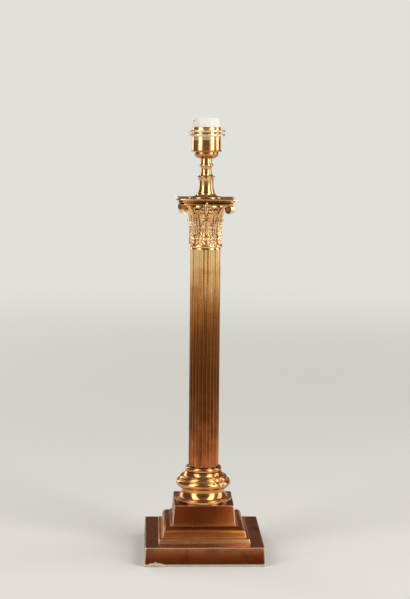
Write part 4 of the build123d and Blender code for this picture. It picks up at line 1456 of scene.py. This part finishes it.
@dataclass(frozen=True)
class Studio:
    """Pale floor that runs into a pale surround, soft boxes, and brown flags that give metal its contrast."""

    surround: str = "#E2E0DB"
    floor: str = "#EEEBE6"
    flag: str = "#8A6850"
    fill: float = 0.42
    overhead: float = 0.28
    aim: float = 0.25
    horizon: Point = (0.08, 0.3)
    floor_near: float = 0.2
    floor_far: float = 2.6
    flag_reach: float = 2.4
    boxes: tuple[SoftBox, ...] = (
        SoftBox("left_window", bearing=-53.0, reach=1.8, middle=1.35, width=0.9, height=2.6, power=21.0),
        SoftBox("right_window", bearing=47.0, reach=1.8, middle=1.35, width=0.9, height=2.6, power=27.0),
        SoftBox("side_window", bearing=98.0, reach=1.9, middle=0.9, width=0.9, height=1.6, power=8.0),
        SoftBox("back_window", bearing=218.0, reach=1.9, middle=0.9, width=0.6, height=1.6, power=6.0),
    )
    flags: tuple[Point, ...] = (
        (-31.0, 23.0), (71.0, 84.0), (114.0, 148.0), (158.0, 202.0), (230.0, 285.0),
    )

    def build(self) -> None:
        """Set up the floor, the surround, the flags and the soft boxes."""
        self.lay_floor()
        self.surround_it()
        self.stand_flags()
        for box in self.boxes:
            box.stand(self.aim)

    def stand_flags(self) -> None:
        """Stand the brown flags between the soft boxes, where only metal sees them."""
        cloth = bpy.data.materials.new("studio_flag_cloth")
        cloth.use_nodes = True
        cloth.node_tree.nodes["Principled BSDF"].inputs["Base Color"].default_value = linear(self.flag)
        for index, (first, last) in enumerate(self.flags):
            bm = bmesh.new()
            foot = Matrix.Rotation(math.radians(first), 3, "Z") @ Vector((0.0, -self.flag_reach, 0.0))
            edges = wire(bm, [foot, foot + Vector((0.0, 0.0, self.flag_reach))], closed=False)
            bmesh.ops.spin(bm, geom=bm.verts[:] + edges, cent=(0, 0, 0), axis=(0, 0, 1),
                           angle=math.radians(last - first), steps=12)
            flag = put_up(f"studio_flag_{index}", bm, cloth)
            flag.visible_camera = False
            flag.visible_diffuse = False
            flag.visible_shadow = False

    def lay_floor(self) -> None:
        """Lay a large round floor whose far part takes the surround's colour."""
        paper = bpy.data.materials.new("studio_paper")
        paper.use_nodes = True
        tree = paper.node_tree
        shader = tree.nodes["Principled BSDF"]
        shader.inputs["Base Color"].default_value = linear(self.floor)
        shader.inputs["Roughness"].default_value = 0.9
        place = add_node(tree, "TexCoord").outputs["Object"]
        reach = add_node(tree, "VectorMath", {0: place}, operation="LENGTH").outputs["Value"]
        far = add_node(tree, "MapRange", {
            "Value": reach, "From Min": self.floor_near, "From Max": self.floor_far,
        }, interpolation_type="SMOOTHSTEP").outputs["Result"]
        glow = add_node(tree, "Emission", {"Color": linear(self.surround), "Strength": 1.0})
        share = add_node(tree, "Math", {0: far, 1: self.seen(tree)}, operation="MULTIPLY").outputs[0]
        mix = add_node(tree, "MixShader", {0: share, 1: shader.outputs[0], 2: glow.outputs[0]})
        tree.links.new(mix.outputs[0], tree.nodes["Material Output"].inputs["Surface"])
        bm = bmesh.new()
        bmesh.ops.create_circle(bm, cap_ends=True, segments=96, radius=30.0)
        put_up("studio_floor", bm, paper)

    def seen(self, tree: Tree) -> Socket:
        """Tell the rays that show the background, straight or in metal and glass, from those that light.

        Args:
            tree: the node tree that asks.

        Returns:
            The socket, 1 where the background shows.
        """
        ray = add_node(tree, "LightPath").outputs
        most = ray["Is Camera Ray"]
        for kind in ("Is Glossy Ray", "Is Transmission Ray"):
            most = add_node(tree, "Math", {0: most, 1: ray[kind]}, operation="MAXIMUM").outputs[0]
        return most

    def surround_it(self) -> None:
        """Give the world its pale colour for the eye and for metal, and a plain fill for the rest."""
        world = bpy.data.worlds.new("studio_surround")
        bpy.context.scene.world = world
        world.use_nodes = True
        tree = world.node_tree
        back = tree.nodes["Background"]
        back.inputs["Color"].default_value = linear(self.surround)
        way = add_node(tree, "SeparateXYZ", {0: add_node(tree, "TexCoord").outputs["Generated"]})
        pale = add_node(tree, "MapRange", {
            "Value": way.outputs["Z"], "From Min": self.horizon[0], "From Max": self.horizon[1],
            "To Min": 1.0, "To Max": self.overhead,
        }, interpolation_type="SMOOTHSTEP")
        strength = add_node(tree, "MapRange", {
            "Value": self.seen(tree), "To Min": self.fill, "To Max": pale.outputs["Result"],
        })
        tree.links.new(strength.outputs["Result"], back.inputs["Strength"])


@dataclass(frozen=True)
class PhotoCamera:
    """The photograph's viewpoint, in millimetres, degrees and picture points."""

    place: tuple[float, float, float] = (-58.5, -1488.9, 433.7)
    pitch: float = 6.63
    heading: float = -2.25
    roll: float = 0.54
    focal_points: float = 1480.5
    frame_height_points: float = 599.0
    sensor_height: float = 24.0

    def build(self) -> None:
        """Put up the camera."""
        data = bpy.data.cameras.new("photo_camera")
        data.sensor_fit = "VERTICAL"
        data.sensor_height = self.sensor_height
        data.lens = self.focal_points * self.sensor_height / self.frame_height_points
        camera = bpy.data.objects.new("photo_camera", data)
        turn = (Matrix.Rotation(math.radians(self.heading), 4, "Z")
                @ Matrix.Rotation(math.radians(90.0 - self.pitch), 4, "X")
                @ Matrix.Rotation(math.radians(self.roll), 4, "Z"))
        camera.matrix_world = Matrix.Translation(Vector(self.place) * MM) @ turn
        bpy.context.scene.collection.objects.link(camera)
        bpy.context.scene.camera = camera


def main() -> None:
    """Build the lamp from the table up, then the studio and the camera."""
    logging.basicConfig(level=logging.INFO, format="%(name)s %(message)s")
    for sub_assembly in (SquareBase(), RoundBase(), Column(), Capital(), Neck(), Lampholder()):
        sub_assembly.build()
    Studio().build()
    PhotoCamera().build()
    bpy.context.scene.view_settings.view_transform = "Standard"


if __name__ == "__main__":
    main()
